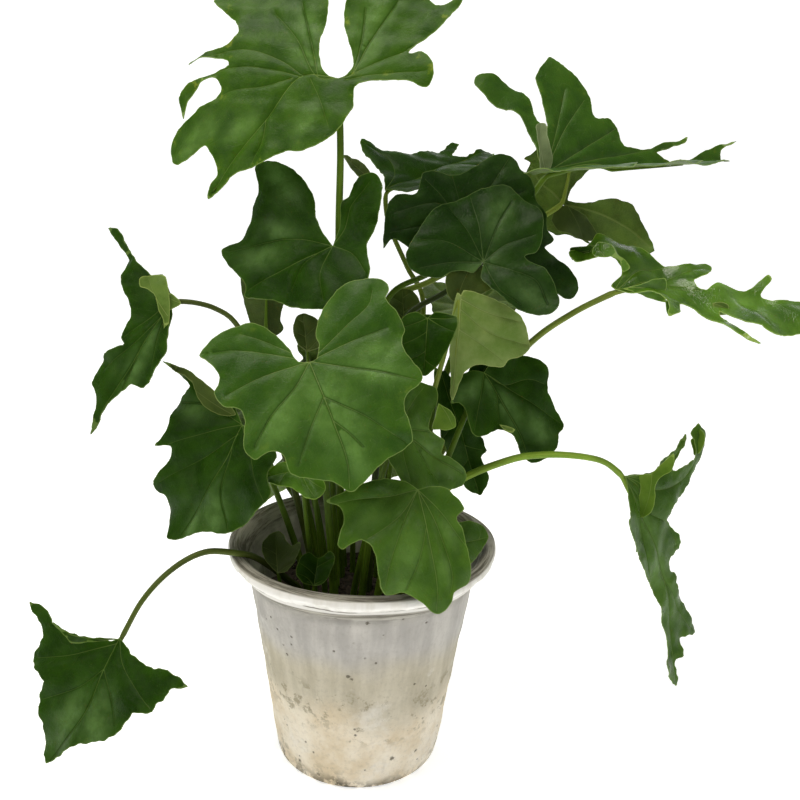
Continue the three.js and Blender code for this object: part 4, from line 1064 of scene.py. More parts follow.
# %% [markdown]
# ## Petioles
# A selloum's petiole is a firm round stalk, thick at the soil and slimmer towards the blade, with a
# small knuckle where it meets the blade. It goes on under the blade as the raised midrib. A
# bevelled curve could make it. Here a flat sheet is rolled up round the line instead: then each
# ring has its own width, and the sheet's map lets a pattern follow the stalk.

# %% Build one petiole
SOIL_LEVEL = 168
ROOT_DEPTH = 26
STALK_SIDES = 14
STALK_STEP = 5
RIB_SHARE = 0.74
RIB_END = 0.45
SOFTENINGS = 3


def rolled_tube(name, line, radii, sides=STALK_SIDES):
    """A grid rolled up round a line, closed along its seam and at both ends."""
    line, radii = np.asarray(line, float), np.asarray(radii, float)
    way = np.gradient(line, axis=0)
    way /= np.linalg.norm(way, axis=1)[:, None]
    out = np.cross(way[0], (0.3, 0.9, 0.2))
    rows = []
    for centre, heading, radius in zip(line, way, radii):
        out = out - heading * (out @ heading)
        out /= np.linalg.norm(out)
        other = np.cross(heading, out)
        angle = np.linspace(0, 2 * math.pi, sides + 1)
        rows.append(centre + radius * (np.cos(angle)[:, None] * out + np.sin(angle)[:, None] * other))
    bpy.ops.object.select_all(action="DESELECT")
    bpy.ops.mesh.primitive_grid_add(x_subdivisions=sides, y_subdivisions=len(line) - 1, size=1)
    piece = bpy.context.active_object
    piece.name = name
    piece.data.name = name
    move_points(piece, np.vstack(rows))
    choose(piece)
    bpy.ops.object.mode_set(mode="EDIT")
    bpy.ops.mesh.select_all(action="SELECT")
    bpy.ops.mesh.remove_doubles(threshold=1e-6)
    bpy.ops.mesh.select_all(action="DESELECT")
    bpy.ops.mesh.select_non_manifold()
    bpy.ops.mesh.edge_face_add()
    bpy.ops.mesh.select_all(action="SELECT")
    bpy.ops.mesh.normals_make_consistent(inside=False)
    bpy.ops.object.mode_set(mode="OBJECT")
    return piece


def join(pieces, name):
    bpy.ops.object.select_all(action="DESELECT")
    for piece in pieces:
        piece.select_set(True)
    bpy.context.view_layer.objects.active = pieces[0]
    bpy.ops.object.join()
    pieces[0].name = name
    pieces[0].data.name = name
    return pieces[0]


def stalk_piece(leaf, name):
    """A petiole from its root in the soil up to the blade, and on under it as the midrib."""
    x, y = leaf["foot"]
    thick, slim = (width / 2 for width in leaf["girth"])
    midrib = vein_lines(leaf, outline_of(leaf))[0][0]
    midrib = midrib[:max(4, round(RIB_SHARE * len(midrib)))]
    rib_width = np.linspace(slim * 0.95, RIB_END, len(midrib))
    rib = on_blade(leaf, midrib, sway_of(leaf, *midrib.T) - rib_width * 0.95 - 0.3)
    stops = [(x, y, SOIL_LEVEL - ROOT_DEPTH), (x, y, SOIL_LEVEL + 4), *leaf["way"], rib[0]]
    stem = smooth_line(stops, STALK_STEP)
    share = np.linspace(0, 1, len(stem))
    from_top = (len(stem) - 1 - np.arange(len(stem))) * STALK_STEP
    stem_width = (thick + (slim - thick) * share) * (1 + 0.22 * np.exp(-from_top / 8))
    line = np.vstack([stem[:-1], rib])
    widths = np.concatenate([stem_width[:-1], rib_width])
    bend = len(stem) - 1
    for _ in range(SOFTENINGS):
        softer = (line[bend - 3:bend + 2] + 2 * line[bend - 2:bend + 3] + line[bend - 1:bend + 4]) / 4
        line[bend - 2:bend + 3] = softer
    piece = rolled_tube(name, line, widths)
    smooth_all(piece, 60)
    return piece


print("petioles have", STALK_SIDES, "sides, and rings", STALK_STEP, "mm apart")


# %% [markdown]
# ## Paint for the leaves
# A leaf's colour isn't even. The blade is a little lighter between the veins, its veins and their
# flanks are paler, a thin light line runs round the margin, and small pale flecks lie scattered over
# it. Shade in the groove beside each main vein is painted in too. The wax makes it glossy above and
# dull below. A picture could be laid on each leaf, but it would fit one leaf only. So all of this is
# worked out from what each vertex knows: its place on the chart, and its distance to the nearest vein
# and to the margin. A small helper class comes first, which keeps a long chain of material nodes
# readable.

# %% Helpers for materials
class Paint:
    """A material whose nodes are added one line at a time."""

    def __init__(self, name):
        self.material = bpy.data.materials.new(name)
        self.material.use_nodes = True
        self.tree = self.material.node_tree
        self.skin = self.tree.nodes["Principled BSDF"]

    def node(self, kind, **settings):
        node = self.tree.nodes.new(kind)
        for key, value in settings.items():
            setattr(node, key, value)
        return node

    def link(self, source, target):
        self.tree.links.new(source, target)

    def feed(self, value, socket):
        """Gives a socket a plain number, a plain colour, or what another node works out."""
        if isinstance(value, (int, float)):
            socket.default_value = value
        elif isinstance(value, tuple):
            socket.default_value = (*value, 1)
        else:
            self.link(value, socket)

    def number(self, name):
        return self.node("ShaderNodeAttribute", attribute_name=name).outputs["Fac"]

    def place(self, name):
        return self.node("ShaderNodeAttribute", attribute_name=name).outputs["Vector"]

    def spot(self):
        return self.node("ShaderNodeTexCoord").outputs["Object"]

    def math(self, operation, a, b=0.0):
        node = self.node("ShaderNodeMath", operation=operation)
        self.feed(a, node.inputs[0])
        self.feed(b, node.inputs[1])
        return node.outputs[0]

    def times(self, first, *others):
        product = first
        for value in others:
            product = self.math("MULTIPLY", product, value)
        return product

    def plus(self, a, b):
        return self.math("ADD", a, b)

    def minus(self, a, b):
        return self.math("SUBTRACT", a, b)

    def ramp(self, value, low, high, start=0.0, end=1.0):
        """A smooth step: start up to low, end from high on."""
        node = self.node("ShaderNodeMapRange", interpolation_type="SMOOTHSTEP")
        self.link(value, node.inputs["Value"])
        for key, number in (("From Min", low), ("From Max", high), ("To Min", start), ("To Max", end)):
            node.inputs[key].default_value = number
        return node.outputs["Result"]

    def noise(self, where, scale, detail=3.0, roughness=0.5, stretch=None):
        if stretch:
            mapping = self.node("ShaderNodeMapping")
            mapping.inputs["Scale"].default_value = stretch
            self.link(where, mapping.inputs["Vector"])
            where = mapping.outputs["Vector"]
        node = self.node("ShaderNodeTexNoise")
        node.inputs["Scale"].default_value = scale
        node.inputs["Detail"].default_value = detail
        node.inputs["Roughness"].default_value = roughness
        self.link(where, node.inputs["Vector"])
        return node.outputs["Fac"]

    def cells(self, where, scale, feature="F1"):
        """Distance to the middle, or to the edge, of the nearest of many small cells."""
        node = self.node("ShaderNodeTexVoronoi", feature=feature)
        node.inputs["Scale"].default_value = scale
        self.link(where, node.inputs["Vector"])
        return node.outputs["Distance"]

    def mix(self, share, a, b):
        """Colour a, or b where the share is 1."""
        node = self.node("ShaderNodeMix", data_type="RGBA")
        self.feed(share, node.inputs[0])
        self.feed(a, node.inputs[6])
        self.feed(b, node.inputs[7])
        return node.outputs[2]

    def bump(self, height, distance_mm, strength):
        node = self.node("ShaderNodeBump")
        node.inputs["Distance"].default_value = distance_mm * MM
        node.inputs["Strength"].default_value = strength
        self.link(height, node.inputs["Height"])
        self.link(node.outputs["Normal"], self.skin.inputs["Normal"])

    def finish(self, colour, roughness, **plain):
        self.link(colour, self.skin.inputs["Base Color"])
        self.feed(roughness, self.skin.inputs["Roughness"])
        for key, value in plain.items():
            self.skin.inputs[key.replace("_", " ")].default_value = value
        return self.material


def shade_of(colour, factor):
    return tuple(factor * value for value in colour)


print("paint is ready")


# %% [markdown]
# ## The greens of a blade
# One recipe serves every leaf, with its own greens: `deep` is the colour of the blade, `fresh` what
# it lightens to in patches and along the margin, `vein` the colour of the midrib. Each function
# below lays one more coat over the colour that it is given, as a painter would.

# %% First coats
SKIN_DEPTH = 0.002


class LeafPaint(Paint):
    """Paint that knows its place on a leaf."""

    def __init__(self, name):
        super().__init__(name)
        self.chart = self.place("chart")
        self.vein_gap, self.rank = self.number("vein_gap"), self.number("vein_rank")
        self.mesh_gap = self.cells(self.chart, 42, "DISTANCE_TO_EDGE")


def blade_greens(paint, deep, fresh, dapple, margin_gap):
    patches = paint.ramp(paint.noise(paint.chart, 3.2, 5, 0.6), 0.36, 0.66)
    colour = paint.mix(paint.times(patches, dapple), deep, fresh)
    outer = paint.times(paint.ramp(margin_gap, 0.8, 9.0, 0.8, 0.0),
                        paint.ramp(paint.noise(paint.chart, 6, 3), 0.38, 0.62))
    return paint.mix(outer, colour, fresh)


print("greens are ready")


# %% [markdown]
# ## Veins in the paint
# The net has a line of vertices only for the main veins. The finer side veins, which branch off at a
# slant, are drawn instead: they are stripes across the run along the nearest vein. Between them lies
# a net of very fine veins, for which the edges of small random cells stand in.

# %% Veins
def side_lines_of(paint):
    slant = paint.minus(paint.number("vein_run"), paint.times(paint.vein_gap, 0.9))
    wobble = paint.times(paint.noise(paint.chart, 7, 3), 16.0)
    stripe = paint.math("PINGPONG", paint.plus(slant, wobble), 4.2)
    line = paint.times(paint.ramp(stripe, 0.0, 0.45, 1.0, 0.0), paint.ramp(paint.vein_gap, 0.5, 3.0))
    return paint.times(line, paint.ramp(paint.noise(paint.chart, 8, 2), 0.42, 0.62))


def fine_veins(paint, colour, vein, side_lines, contrast):
    colour = paint.mix(paint.times(side_lines, 0.12 * contrast), colour, vein)
    net = paint.times(paint.ramp(paint.mesh_gap, 0.0, 0.09, 1.0, 0.0), 0.06 * contrast)
    return paint.mix(net, colour, vein)


def main_veins(paint, colour, deep, fresh, vein, contrast):
    """Light flanks, painted shade in the groove, and the vein's own line."""
    gap, rank = paint.vein_gap, paint.rank
    flank = paint.times(paint.ramp(gap, 0.6, 3.6, 0.40 * contrast, 0.0), rank)
    colour = paint.mix(flank, colour, fresh)
    # Painted shade: the groove along each main vein is darkened to half the blade's deep green.
    groove_shade = paint.times(paint.ramp(gap, 0.30, 1.5, 0.45, 0.0), rank)
    colour = paint.mix(groove_shade, colour, shade_of(deep, 0.5))
    line = paint.times(paint.ramp(gap, 0.15, 0.60, 0.9, 0.0), paint.ramp(rank, 0.2, 1.0, 0.35, 1.0))
    return paint.mix(line, colour, vein)


print("veins are ready")


# %% [markdown]
# ## Age and painted sheen
# Old leaves yellow in blotches near the margin. Wax gives a blade a soft sheen where the light falls
# on it. A mirror-like gloss would show the white room as a grey haze all over, so the gloss stays
# low, and the sheen is painted into the colour as a highlight, a light greyish green, where the
# sheen attribute asks for it, broken up like a smear.

# %% Yellow blotches, painted sheen and flecks
OLD_YELLOW = (0.24, 0.31, 0.03)
# The grey that the painted sheen leans towards.
SHEEN_GREY = (0.20, 0.30, 0.13)


def yellow_blotches(paint, colour, yellow, margin_gap):
    blotch = paint.ramp(paint.noise(paint.chart, 6.5, 5, 0.62), 0.57, 0.70, 0.0, yellow)
    near_edge = paint.ramp(margin_gap, 2.0, 12.0, 1.0, 0.0)
    return paint.mix(paint.times(blotch, near_edge), colour, OLD_YELLOW)


# Where the painted sheen lies: the listed spots and faint broad patches, broken up and kept off the veins.
def painted_sheen_mask(paint):
    smear = paint.ramp(paint.noise(paint.chart, 5, 5, 0.6), 0.34, 0.62, 0.45, 1.0)
    broad_sheen = paint.ramp(paint.noise(paint.chart, 1.9, 3, 0.5), 0.54, 0.74, 0.0, 0.20)
    painted_sheen = paint.math("MAXIMUM", paint.number("painted_sheen"), broad_sheen)
    return paint.times(painted_sheen, smear, paint.ramp(paint.vein_gap, 0.4, 2.2))


# The colour of the painted highlight: the fresh green, lightened towards grey.
def sheen_colour_of(fresh):
    return tuple(1.15 * value + 0.32 * grey for value, grey in zip(fresh, SHEEN_GREY))


def pale_flecks(paint, colour, vein):
    lucky = paint.ramp(paint.noise(paint.chart, 9, 2), 0.56, 0.64)
    dots = paint.times(paint.ramp(paint.cells(paint.chart, 26), 0.05, 0.10, 0.7, 0.0), lucky)
    return paint.mix(dots, colour, vein)


print("wax is ready")


# %% [markdown]
# ## Upper sides and undersides
# The coats go on in this order. The relief that light catches is made from the same parts: the fine
# net and the side veins are sunk, and a slow noise makes the skin uneven. Below, a leaf is duller
# and paler, and its veins stand out light on it.

# %% Both sides of a leaf
def upper_side(name, deep, fresh, vein, dapple=0.6, gloss=0.36, yellow=0.0, contrast=1.0, shine=0.15,
               sheen_paint=0.6):
    paint = LeafPaint(name)
    margin_gap = paint.number("margin_gap")
    side_lines, painted_sheen = side_lines_of(paint), painted_sheen_mask(paint)
    colour = blade_greens(paint, deep, fresh, dapple, margin_gap)
    colour = fine_veins(paint, colour, vein, side_lines, contrast)
    colour = main_veins(paint, colour, deep, fresh, vein, contrast)
    if yellow:
        colour = yellow_blotches(paint, colour, yellow, margin_gap)
    # Painted sheen: the colour is lightened where the leaf would shine.
    colour = paint.mix(paint.times(painted_sheen, sheen_paint), colour, sheen_colour_of(fresh))
    colour = pale_flecks(paint, colour, vein)
    rim = paint.ramp(margin_gap, 0.25, 0.85, 0.9, 0.0)
    colour = paint.mix(rim, colour, shade_of(vein, 1.15))
    roughness = paint.ramp(paint.noise(paint.chart, 7, 4), 0.3, 0.75, gloss - 0.07, gloss + 0.10)
    roughness = paint.minus(roughness, paint.times(painted_sheen, 0.08))
    relief = paint.plus(paint.times(paint.noise(paint.chart, 60, 3), 0.5),
                        paint.ramp(paint.mesh_gap, 0.0, 0.12, -0.4, 0.0))
    relief = paint.minus(relief, paint.times(side_lines, 0.9))
    relief = paint.plus(relief, paint.times(paint.noise(paint.chart, 12, 3), 3.0))
    paint.bump(relief, 0.3, 0.6)
    return paint.finish(colour, roughness, Subsurface_Weight=0.03, Subsurface_Scale=SKIN_DEPTH,
                        Specular_IOR_Level=shine)


def underside(name, deep, vein):
    paint = LeafPaint(name)
    patches = paint.ramp(paint.noise(paint.chart, 4, 4), 0.35, 0.7)
    colour = paint.mix(patches, deep, shade_of(deep, 1.7))
    colour = paint.mix(paint.ramp(paint.mesh_gap, 0.0, 0.12, 0.15, 0.0), colour, vein)
    line = paint.times(paint.ramp(paint.vein_gap, 0.4, 1.3, 1.0, 0.0), paint.rank)
    colour = paint.mix(line, colour, vein)
    paint.bump(paint.ramp(paint.mesh_gap, 0.0, 0.15, 1.0, 0.0), 0.3, 0.6)
    return paint.finish(colour, 0.5, Subsurface_Weight=0.05, Subsurface_Scale=SKIN_DEPTH,
                        Specular_IOR_Level=0.2)


print("both sides are ready")


# %% [markdown]
# ## The greens of this plant
# Old leaves are dark, young ones light, and leaves that are lit through are lime. Chance could vary
# one green, but here each leaf's tone is known. So each finish gives the three greens of the upper
# side, the two of the underside, and what differs from the recipe.

# %% Leaf finishes
UNDER_GREEN = ((0.065, 0.115, 0.013), (0.19, 0.26, 0.06))
UNDER_FRESH = ((0.110, 0.190, 0.022), (0.27, 0.36, 0.09))
UNDER_LIME = ((0.10, 0.17, 0.025), (0.24, 0.32, 0.08))
UNDER_OLIVE = ((0.055, 0.088, 0.016), (0.15, 0.19, 0.05))
UNDER_SILVER = ((0.12, 0.17, 0.06), (0.22, 0.28, 0.12))
UNDER_PALE = ((0.11, 0.17, 0.03), (0.24, 0.30, 0.10))
# In the recipes, the last entry of light, wet, sheen, dark and deep sets how strongly the painted sheen is
# laid on.
GREENS = {
    "light": ((0.022, 0.070, 0.003), (0.056, 0.140, 0.007), (0.16, 0.26, 0.045), UNDER_FRESH,
              {"dapple": 0.75, "yellow": 0.8, "shine": 0.10, "sheen_paint": 0.9}),
    "fresh": ((0.085, 0.175, 0.012), (0.140, 0.255, 0.022), (0.24, 0.36, 0.07), UNDER_FRESH,
              {"dapple": 0.7, "gloss": 0.38}),
    "bright": ((0.060, 0.165, 0.007), (0.125, 0.290, 0.018), (0.24, 0.40, 0.06), UNDER_FRESH,
               {"dapple": 0.7, "gloss": 0.28}),
    "wet": ((0.045, 0.130, 0.004), (0.115, 0.265, 0.013), (0.26, 0.40, 0.07), UNDER_FRESH,
            {"dapple": 0.8, "gloss": 0.17, "shine": 0.6, "sheen_paint": 1.0}),
    "lime": ((0.085, 0.155, 0.022), (0.165, 0.270, 0.050), (0.27, 0.36, 0.09), UNDER_LIME,
             {"dapple": 0.7, "gloss": 0.42}),
    "mid": ((0.040, 0.104, 0.009), (0.078, 0.175, 0.014), (0.170, 0.270, 0.060), UNDER_GREEN,
            {"gloss": 0.34}),
    "sheen": ((0.027, 0.083, 0.006), (0.060, 0.150, 0.011), (0.190, 0.285, 0.075), UNDER_GREEN,
              {"yellow": 0.25, "sheen_paint": 1.0}),
    "dark": ((0.010, 0.036, 0.001), (0.026, 0.078, 0.003), (0.105, 0.175, 0.035), UNDER_GREEN,
             {"gloss": 0.33, "contrast": 0.9, "shine": 0.06, "sheen_paint": 1.0}),
    # deep and shade are darker, duller greens for leaves low in the plant or under others: partly their own
    # dark green, partly painted shade.
    "deep": ((0.009, 0.030, 0.003), (0.022, 0.062, 0.006), (0.075, 0.125, 0.035), UNDER_GREEN,
             {"gloss": 0.32, "contrast": 0.9, "shine": 0.09, "sheen_paint": 0.9}),
    "shade": ((0.026, 0.046, 0.006), (0.052, 0.080, 0.012), (0.10, 0.14, 0.035), UNDER_GREEN,
              {"gloss": 0.45}),
    "olive": ((0.045, 0.076, 0.012), (0.080, 0.120, 0.020), (0.15, 0.20, 0.05), UNDER_OLIVE,
              {"gloss": 0.50}),
    "silver": ((0.12, 0.17, 0.07), (0.20, 0.26, 0.12), (0.26, 0.32, 0.16), UNDER_SILVER,
               {"gloss": 0.45}),
    "pale": ((0.125, 0.215, 0.034), (0.230, 0.315, 0.090), (0.30, 0.38, 0.12), UNDER_PALE,
             {"dapple": 0.8, "gloss": 0.45}),
}
leaf_finish = {}
for look, (deep, fresh, vein, below, recipe) in GREENS.items():
    leaf_finish[look] = (upper_side("leaf top " + look, deep, fresh, vein, **recipe),
                         underside("leaf under " + look, *below))
OWN_FINISH = {
    "right_high": "wet", "left_low": "dark", "upper_centre": "deep", "upper_back": "deep",
    "top_right": "sheen", "pot_left": "shade", "pot_right": "dark",
}
print(len(leaf_finish), "leaf finishes")


# %% [markdown]
# ## Petiole finish
# A petiole is smooth and firm, with fine streaks along it, darker specks, and a paler side. The
# paint gives it the streaks, the specks and some darker patches, but no paler side. The streaks
# follow the rolled sheet's own map, so they run along the stalk however it bends.

# %% Petiole finishes
def petiole_skin(name, deep, fresh):
    paint = Paint(name)
    spot = paint.spot()
    streaks = paint.noise(paint.node("ShaderNodeUVMap", uv_map="UVMap").outputs["UV"], 1, 4, 0.6,
                          stretch=(30, 6, 1))
    colour = paint.mix(paint.ramp(streaks, 0.35, 0.7), deep, fresh)
    tone = paint.ramp(paint.noise(spot, 18, 2), 0.4, 0.65, 0.0, 0.5)
    colour = paint.mix(tone, colour, shade_of(deep, 0.55))
    specks = paint.ramp(paint.cells(spot, 420), 0.12, 0.2, 0.45, 0.0)
    colour = paint.mix(specks, colour, shade_of(deep, 0.4))
    paint.bump(streaks, 0.3, 0.4)
    return paint.finish(colour, 0.45, Subsurface_Weight=0.05, Subsurface_Scale=SKIN_DEPTH,
                        Specular_IOR_Level=0.16)


STALK_GREENS = {
    "green": ((0.075, 0.145, 0.008), (0.145, 0.245, 0.018)),
    "bright": ((0.200, 0.350, 0.030), (0.370, 0.540, 0.070)),
    "pale": ((0.145, 0.205, 0.022), (0.265, 0.345, 0.055)),
    "dark": ((0.024, 0.042, 0.006), (0.058, 0.088, 0.014)),
    "olive": ((0.060, 0.088, 0.012), (0.125, 0.165, 0.030)),
}
stalk_finish = {look: petiole_skin("petiole " + look, *greens) for look, greens in STALK_GREENS.items()}
OWN_STALK = {"left_low": "olive", "left_high": "olive"}
print(len(stalk_finish), "petiole finishes")


# %% [markdown]
# ## Grow the leaves
# Every blade and every petiole takes the place of its CAD node. A young leaf is one piece. The
# crinkles of a blade are drawn from a seed that follows its number, so that neighbours differ.

# %% Make all leaves
FIRST_SEED = 100
LOBE_SEEDS = 7


def grow(number, leaf):
    """Builds a leaf's blade with its folded lobes, and its petiole, and counts their triangles."""
    name = leaf["name"]
    lobes = [flap for flap in flaps if flap["parent"] == name]
    parts = []
    for k, part in enumerate([leaf, *lobes]):
        finish = leaf_finish[OWN_FINISH.get(part["name"], part["colour"])]
        parts.append(blade_piece(part, f"part_{k}", finish, FIRST_SEED + number + LOBE_SEEDS * k))
    blade = join(parts, "leaf_" + name)
    stalk = stalk_piece(leaf, "stalk_" + name)
    stalk.data.materials.append(stalk_finish[OWN_STALK.get(name, leaf["stalk"])])
    if leaf["young"]:
        young = join([blade, stalk], "young_" + name)
        hand_over(young, "leaf_" + leaf["colour"], "young_leaf_" + name)
        return triangles_in(young)
    hand_over(blade, "leaf_" + leaf["colour"], "blade_" + name)
    hand_over(stalk, "petiole_" + leaf["stalk"], "petiole_" + name)
    return triangles_in(blade) + triangles_in(stalk)


print("foliage:", sum(grow(number, leaf) for number, leaf in enumerate(leaves)), "triangles")


# %% [markdown]
# ## The pot
# A hand-finished clay pot: turned on a wheel, then whitewashed. Stacked cylinders could give its
# form, but a thrown pot is one line spun round an axis, so its profile is drawn and spun. The same
# helper serves the soil later.

# %% Spin a profile
def spun(name, profile, sides):
    """A profile of radius and height, spun once round the upright axis."""
    points = [(radius, 0, z) for radius, z in profile]
    piece = new_object(name, points, [])
    mesh = piece.data
    mesh.edges.add(len(points) - 1)
    for k, edge in enumerate(mesh.edges):
        edge.vertices = (k, k + 1)
    choose(piece)
    bpy.ops.object.mode_set(mode="EDIT")
    bpy.ops.mesh.select_all(action="SELECT")
    bpy.ops.mesh.spin(steps=sides, angle=2 * math.pi, center=(0, 0, 0), axis=(0, 0, 1))
    bpy.ops.mesh.select_all(action="SELECT")
    bpy.ops.mesh.remove_doubles(threshold=1e-5)
    bpy.ops.mesh.normals_make_consistent(inside=False)
    bpy.ops.object.mode_set(mode="OBJECT")
    return piece


POT_HEIGHT = 225
RIM_RADIUS = 130
NECK_RADIUS = 111
FOOT_RADIUS = 82
WALL = 9
FLOOR = 12
LIP_HEIGHT = 11
NECK_DROP = 29
RIM_FLAT = 10
POT_SIDES = 240
lip_foot = POT_HEIGHT - LIP_HEIGHT
inner_rim = RIM_RADIUS - RIM_FLAT
wall_line = [
    (FOOT_RADIUS - 2, 0), (FOOT_RADIUS, 2), (FOOT_RADIUS + 8, 0.24 * POT_HEIGHT),
    (FOOT_RADIUS + 16, 0.5 * POT_HEIGHT), (NECK_RADIUS, POT_HEIGHT - NECK_DROP),
]
rim_line = [
    (NECK_RADIUS + 8, POT_HEIGHT - NECK_DROP + 8), (RIM_RADIUS - 3, lip_foot),
    (RIM_RADIUS, lip_foot + 3), (RIM_RADIUS, POT_HEIGHT - 3), (RIM_RADIUS - 3, POT_HEIGHT),
    (inner_rim, POT_HEIGHT), (inner_rim - 5, POT_HEIGHT - 6),
    (NECK_RADIUS - WALL, POT_HEIGHT - NECK_DROP - 8),
]
inside_line = [
    (NECK_RADIUS - WALL, POT_HEIGHT - NECK_DROP - 8), (FOOT_RADIUS - WALL + 2, FLOOR + 3),
    (FOOT_RADIUS - WALL - 3, FLOOR),
]
profile = [
    (0.0, 0), (40, 0), *smooth_line(wall_line, 3),
    *smooth_line([wall_line[-1], *rim_line], 1.5)[1:],
    *smooth_line(inside_line, 8)[1:], (30, FLOOR), (0.0, FLOOR),
]
pot = spun("clay_pot", profile, POT_SIDES)
print("pot:", len(profile), "points in the profile,", triangles_in(pot), "triangles")


# %% [markdown]
# ## Made by hand
# No two sides of this pot are alike: the rim is neither quite round nor level, the wall has slight
# dents, and knocks have chipped the lower edge of the lip. Sculpting would do it too, but sums on
# the angle and the height can be changed later with one number.

# %% Dents and chips
CHIPS = 46
ON_WALL = 60


def unevenness(angle, z):
    """How much wider and how much higher the pot is than planned, on its upper part."""
    t = np.clip((z - 0.6 * POT_HEIGHT) / (0.4 * POT_HEIGHT), 0, 1)
    height = t * t * (3 - 2 * t)
    swell = 1 + height * (0.009 * np.sin(2 * angle + 0.7) + 0.006 * np.sin(5 * angle))
    lift = height * (1.2 * np.sin(angle - 0.4) + 0.8 * np.sin(3 * angle + 1))
    return swell, lift


place = points_of(pot)
angle = np.arctan2(place[:, 1], place[:, 0])
swell, lift = unevenness(angle, place[:, 2])
radius = np.hypot(place[:, 0], place[:, 1])
dents = (0.35 * np.sin(3 * angle + place[:, 2] / 31) * np.sin(place[:, 2] / 17 + 1)
         + 0.22 * np.sin(9 * angle + place[:, 2] / 9) + 0.16 * np.sin(place[:, 2] / 4.3))
on_wall = (radius > ON_WALL) & (place[:, 2] > 3)
chips = np.zeros(len(place))
draw = random.Random(11)
for _ in range(CHIPS):
    where, size, depth = draw.uniform(-math.pi, math.pi), draw.uniform(0.012, 0.05), draw.uniform(0.5, 2.2)
    away = np.abs((angle - where + math.pi) % (2 * math.pi) - math.pi)
    chips = np.maximum(chips, depth * np.exp(-(away / size) ** 2))
lip = np.exp(-((place[:, 2] - lip_foot - 1) / 3.2) ** 2) * (radius > RIM_RADIUS - 9)
scale = swell + (dents * on_wall - chips * lip) / np.maximum(radius, 1)
place[:, 0] *= scale
place[:, 1] *= scale
place[:, 2] += lift + 0.35 * chips * lip
move_points(pot, place)
smooth_all(pot, 40)
print("the rim rises and falls by", round(float(lift.max() - lift.min()), 1), "mm")


# %% [markdown]
# ## Whitewash on clay
# Layers of lime wash, thin and chalky: grey-lilac high up under the rim, olive below it, cream and
# ochre lower down where the clay shows through. A wrapped picture would show its seam, so the washes
# are mixed by height. The bands aren't level, so a slow noise is added to the height, and streaks run
# down the wall as from a wide brush. Inside a material, lengths are in metres.

# %% First washes
class PotPaint(Paint):
    """Paint that knows its height, its distance from the axis, and the streaks of the brush."""

    def __init__(self, name):
        super().__init__(name)
        self.here = self.spot()
        axes = self.node("ShaderNodeSeparateXYZ")
        self.link(self.here, axes.inputs[0])
        self.x, self.y, self.height = axes.outputs
        flat = self.node("ShaderNodeCombineXYZ")
        self.link(self.x, flat.inputs["X"])
        self.link(self.y, flat.inputs["Y"])
        length = self.node("ShaderNodeVectorMath", operation="LENGTH")
        self.link(flat.outputs[0], length.inputs[0])
        self.radius = length.outputs["Value"]
        cloud = self.noise(self.here, 6, 3, 0.55)
        self.level = self.plus(self.height, self.times(self.minus(cloud, 0.5), 0.11))
        self.streaks = self.noise(self.here, 1, 4, 0.6, stretch=(60, 60, 7))
        self.outer_wall = self.ramp(self.radius, 0.108, 0.112)


def washes(paint, lime):
    streaks, level = paint.streaks, paint.level
    # The wall is greyer high up, under the rim.
    upper_grey = paint.mix(paint.ramp(streaks, 0.30, 0.72), (0.45, 0.435, 0.415), (0.62, 0.60, 0.565))
    olive = paint.mix(paint.ramp(streaks, 0.30, 0.70), (0.46, 0.42, 0.32), (0.61, 0.565, 0.455))
    cream = paint.mix(paint.ramp(paint.noise(paint.here, 24, 5, 0.6), 0.34, 0.66), (0.70, 0.59, 0.42),
                      (0.86, 0.79, 0.66))
    colour = paint.mix(paint.ramp(level, 0.120, 0.155, 1.0, 0.0), upper_grey, olive)
    colour = paint.mix(paint.ramp(level, 0.068, 0.102, 1.0, 0.0), colour, cream)
    colour = paint.mix(lime, colour, (0.90, 0.88, 0.84))
    grain = paint.noise(paint.here, 260, 4, 0.6)
    colour = paint.mix(paint.ramp(grain, 0.32, 0.52, 0.16, 0.0), colour, (0.28, 0.26, 0.22))
    drips = paint.ramp(paint.plus(paint.height, paint.times(streaks, 0.022)), 0.207, 0.213)
    return paint.mix(paint.times(drips, paint.outer_wall, 0.6), colour, (0.93, 0.92, 0.88))


print("washes are ready")


# %% [markdown]
# ## Age on the wall
# Pin holes in the wash, brown scabs below the grey band, and darker patches at the foot. Each is a
# noise with a sharp threshold; the scabs and the patches at the foot are held to their own band of
# the wall by a ramp of the height.

# %% Holes, scabs and a darker foot
def holes_in(paint):
    return paint.times(paint.ramp(paint.cells(paint.here, 85), 0.06, 0.13, 1.0, 0.0),
                       paint.ramp(paint.noise(paint.here, 22, 3), 0.50, 0.57))


def scabs_on(paint):
    band = paint.math("PINGPONG", paint.minus(paint.level, 0.045), 0.045)
    spread = paint.times(paint.ramp(band, 0.010, 0.036), paint.ramp(paint.level, 0.10, 0.12, 1.0, 0.0))
    return paint.times(paint.ramp(paint.noise(paint.here, 62, 6, 0.72), 0.52, 0.60), spread)


# The wall is darker at its foot, in patches broken up by noise.
def darker_at_foot(paint):
    wavy_height = paint.plus(paint.height, paint.times(paint.noise(paint.here, 18, 3), 0.04))
    return paint.times(paint.ramp(wavy_height, 0.016, 0.038, 1.0, 0.0),
                       paint.ramp(paint.noise(paint.here, 70, 5, 0.65), 0.42, 0.55))


def age_the_wall(paint, colour, holes):
    colour = paint.mix(paint.times(holes, 0.75), colour, (0.13, 0.11, 0.08))
    colour = paint.mix(paint.times(scabs_on(paint), 0.8), colour, (0.32, 0.28, 0.19))
    return paint.mix(darker_at_foot(paint), colour, (0.09, 0.08, 0.055))


print("age is ready")


# %% [markdown]
# ## The rim and the inside
# The lip keeps a thick white wash, chipped along its lower edge. The flat top is worn down to dark
# clay, in strokes that run round it: a noise that changes fast along the radius and slowly round
# the circle. The surface's direction tells which faces look up.

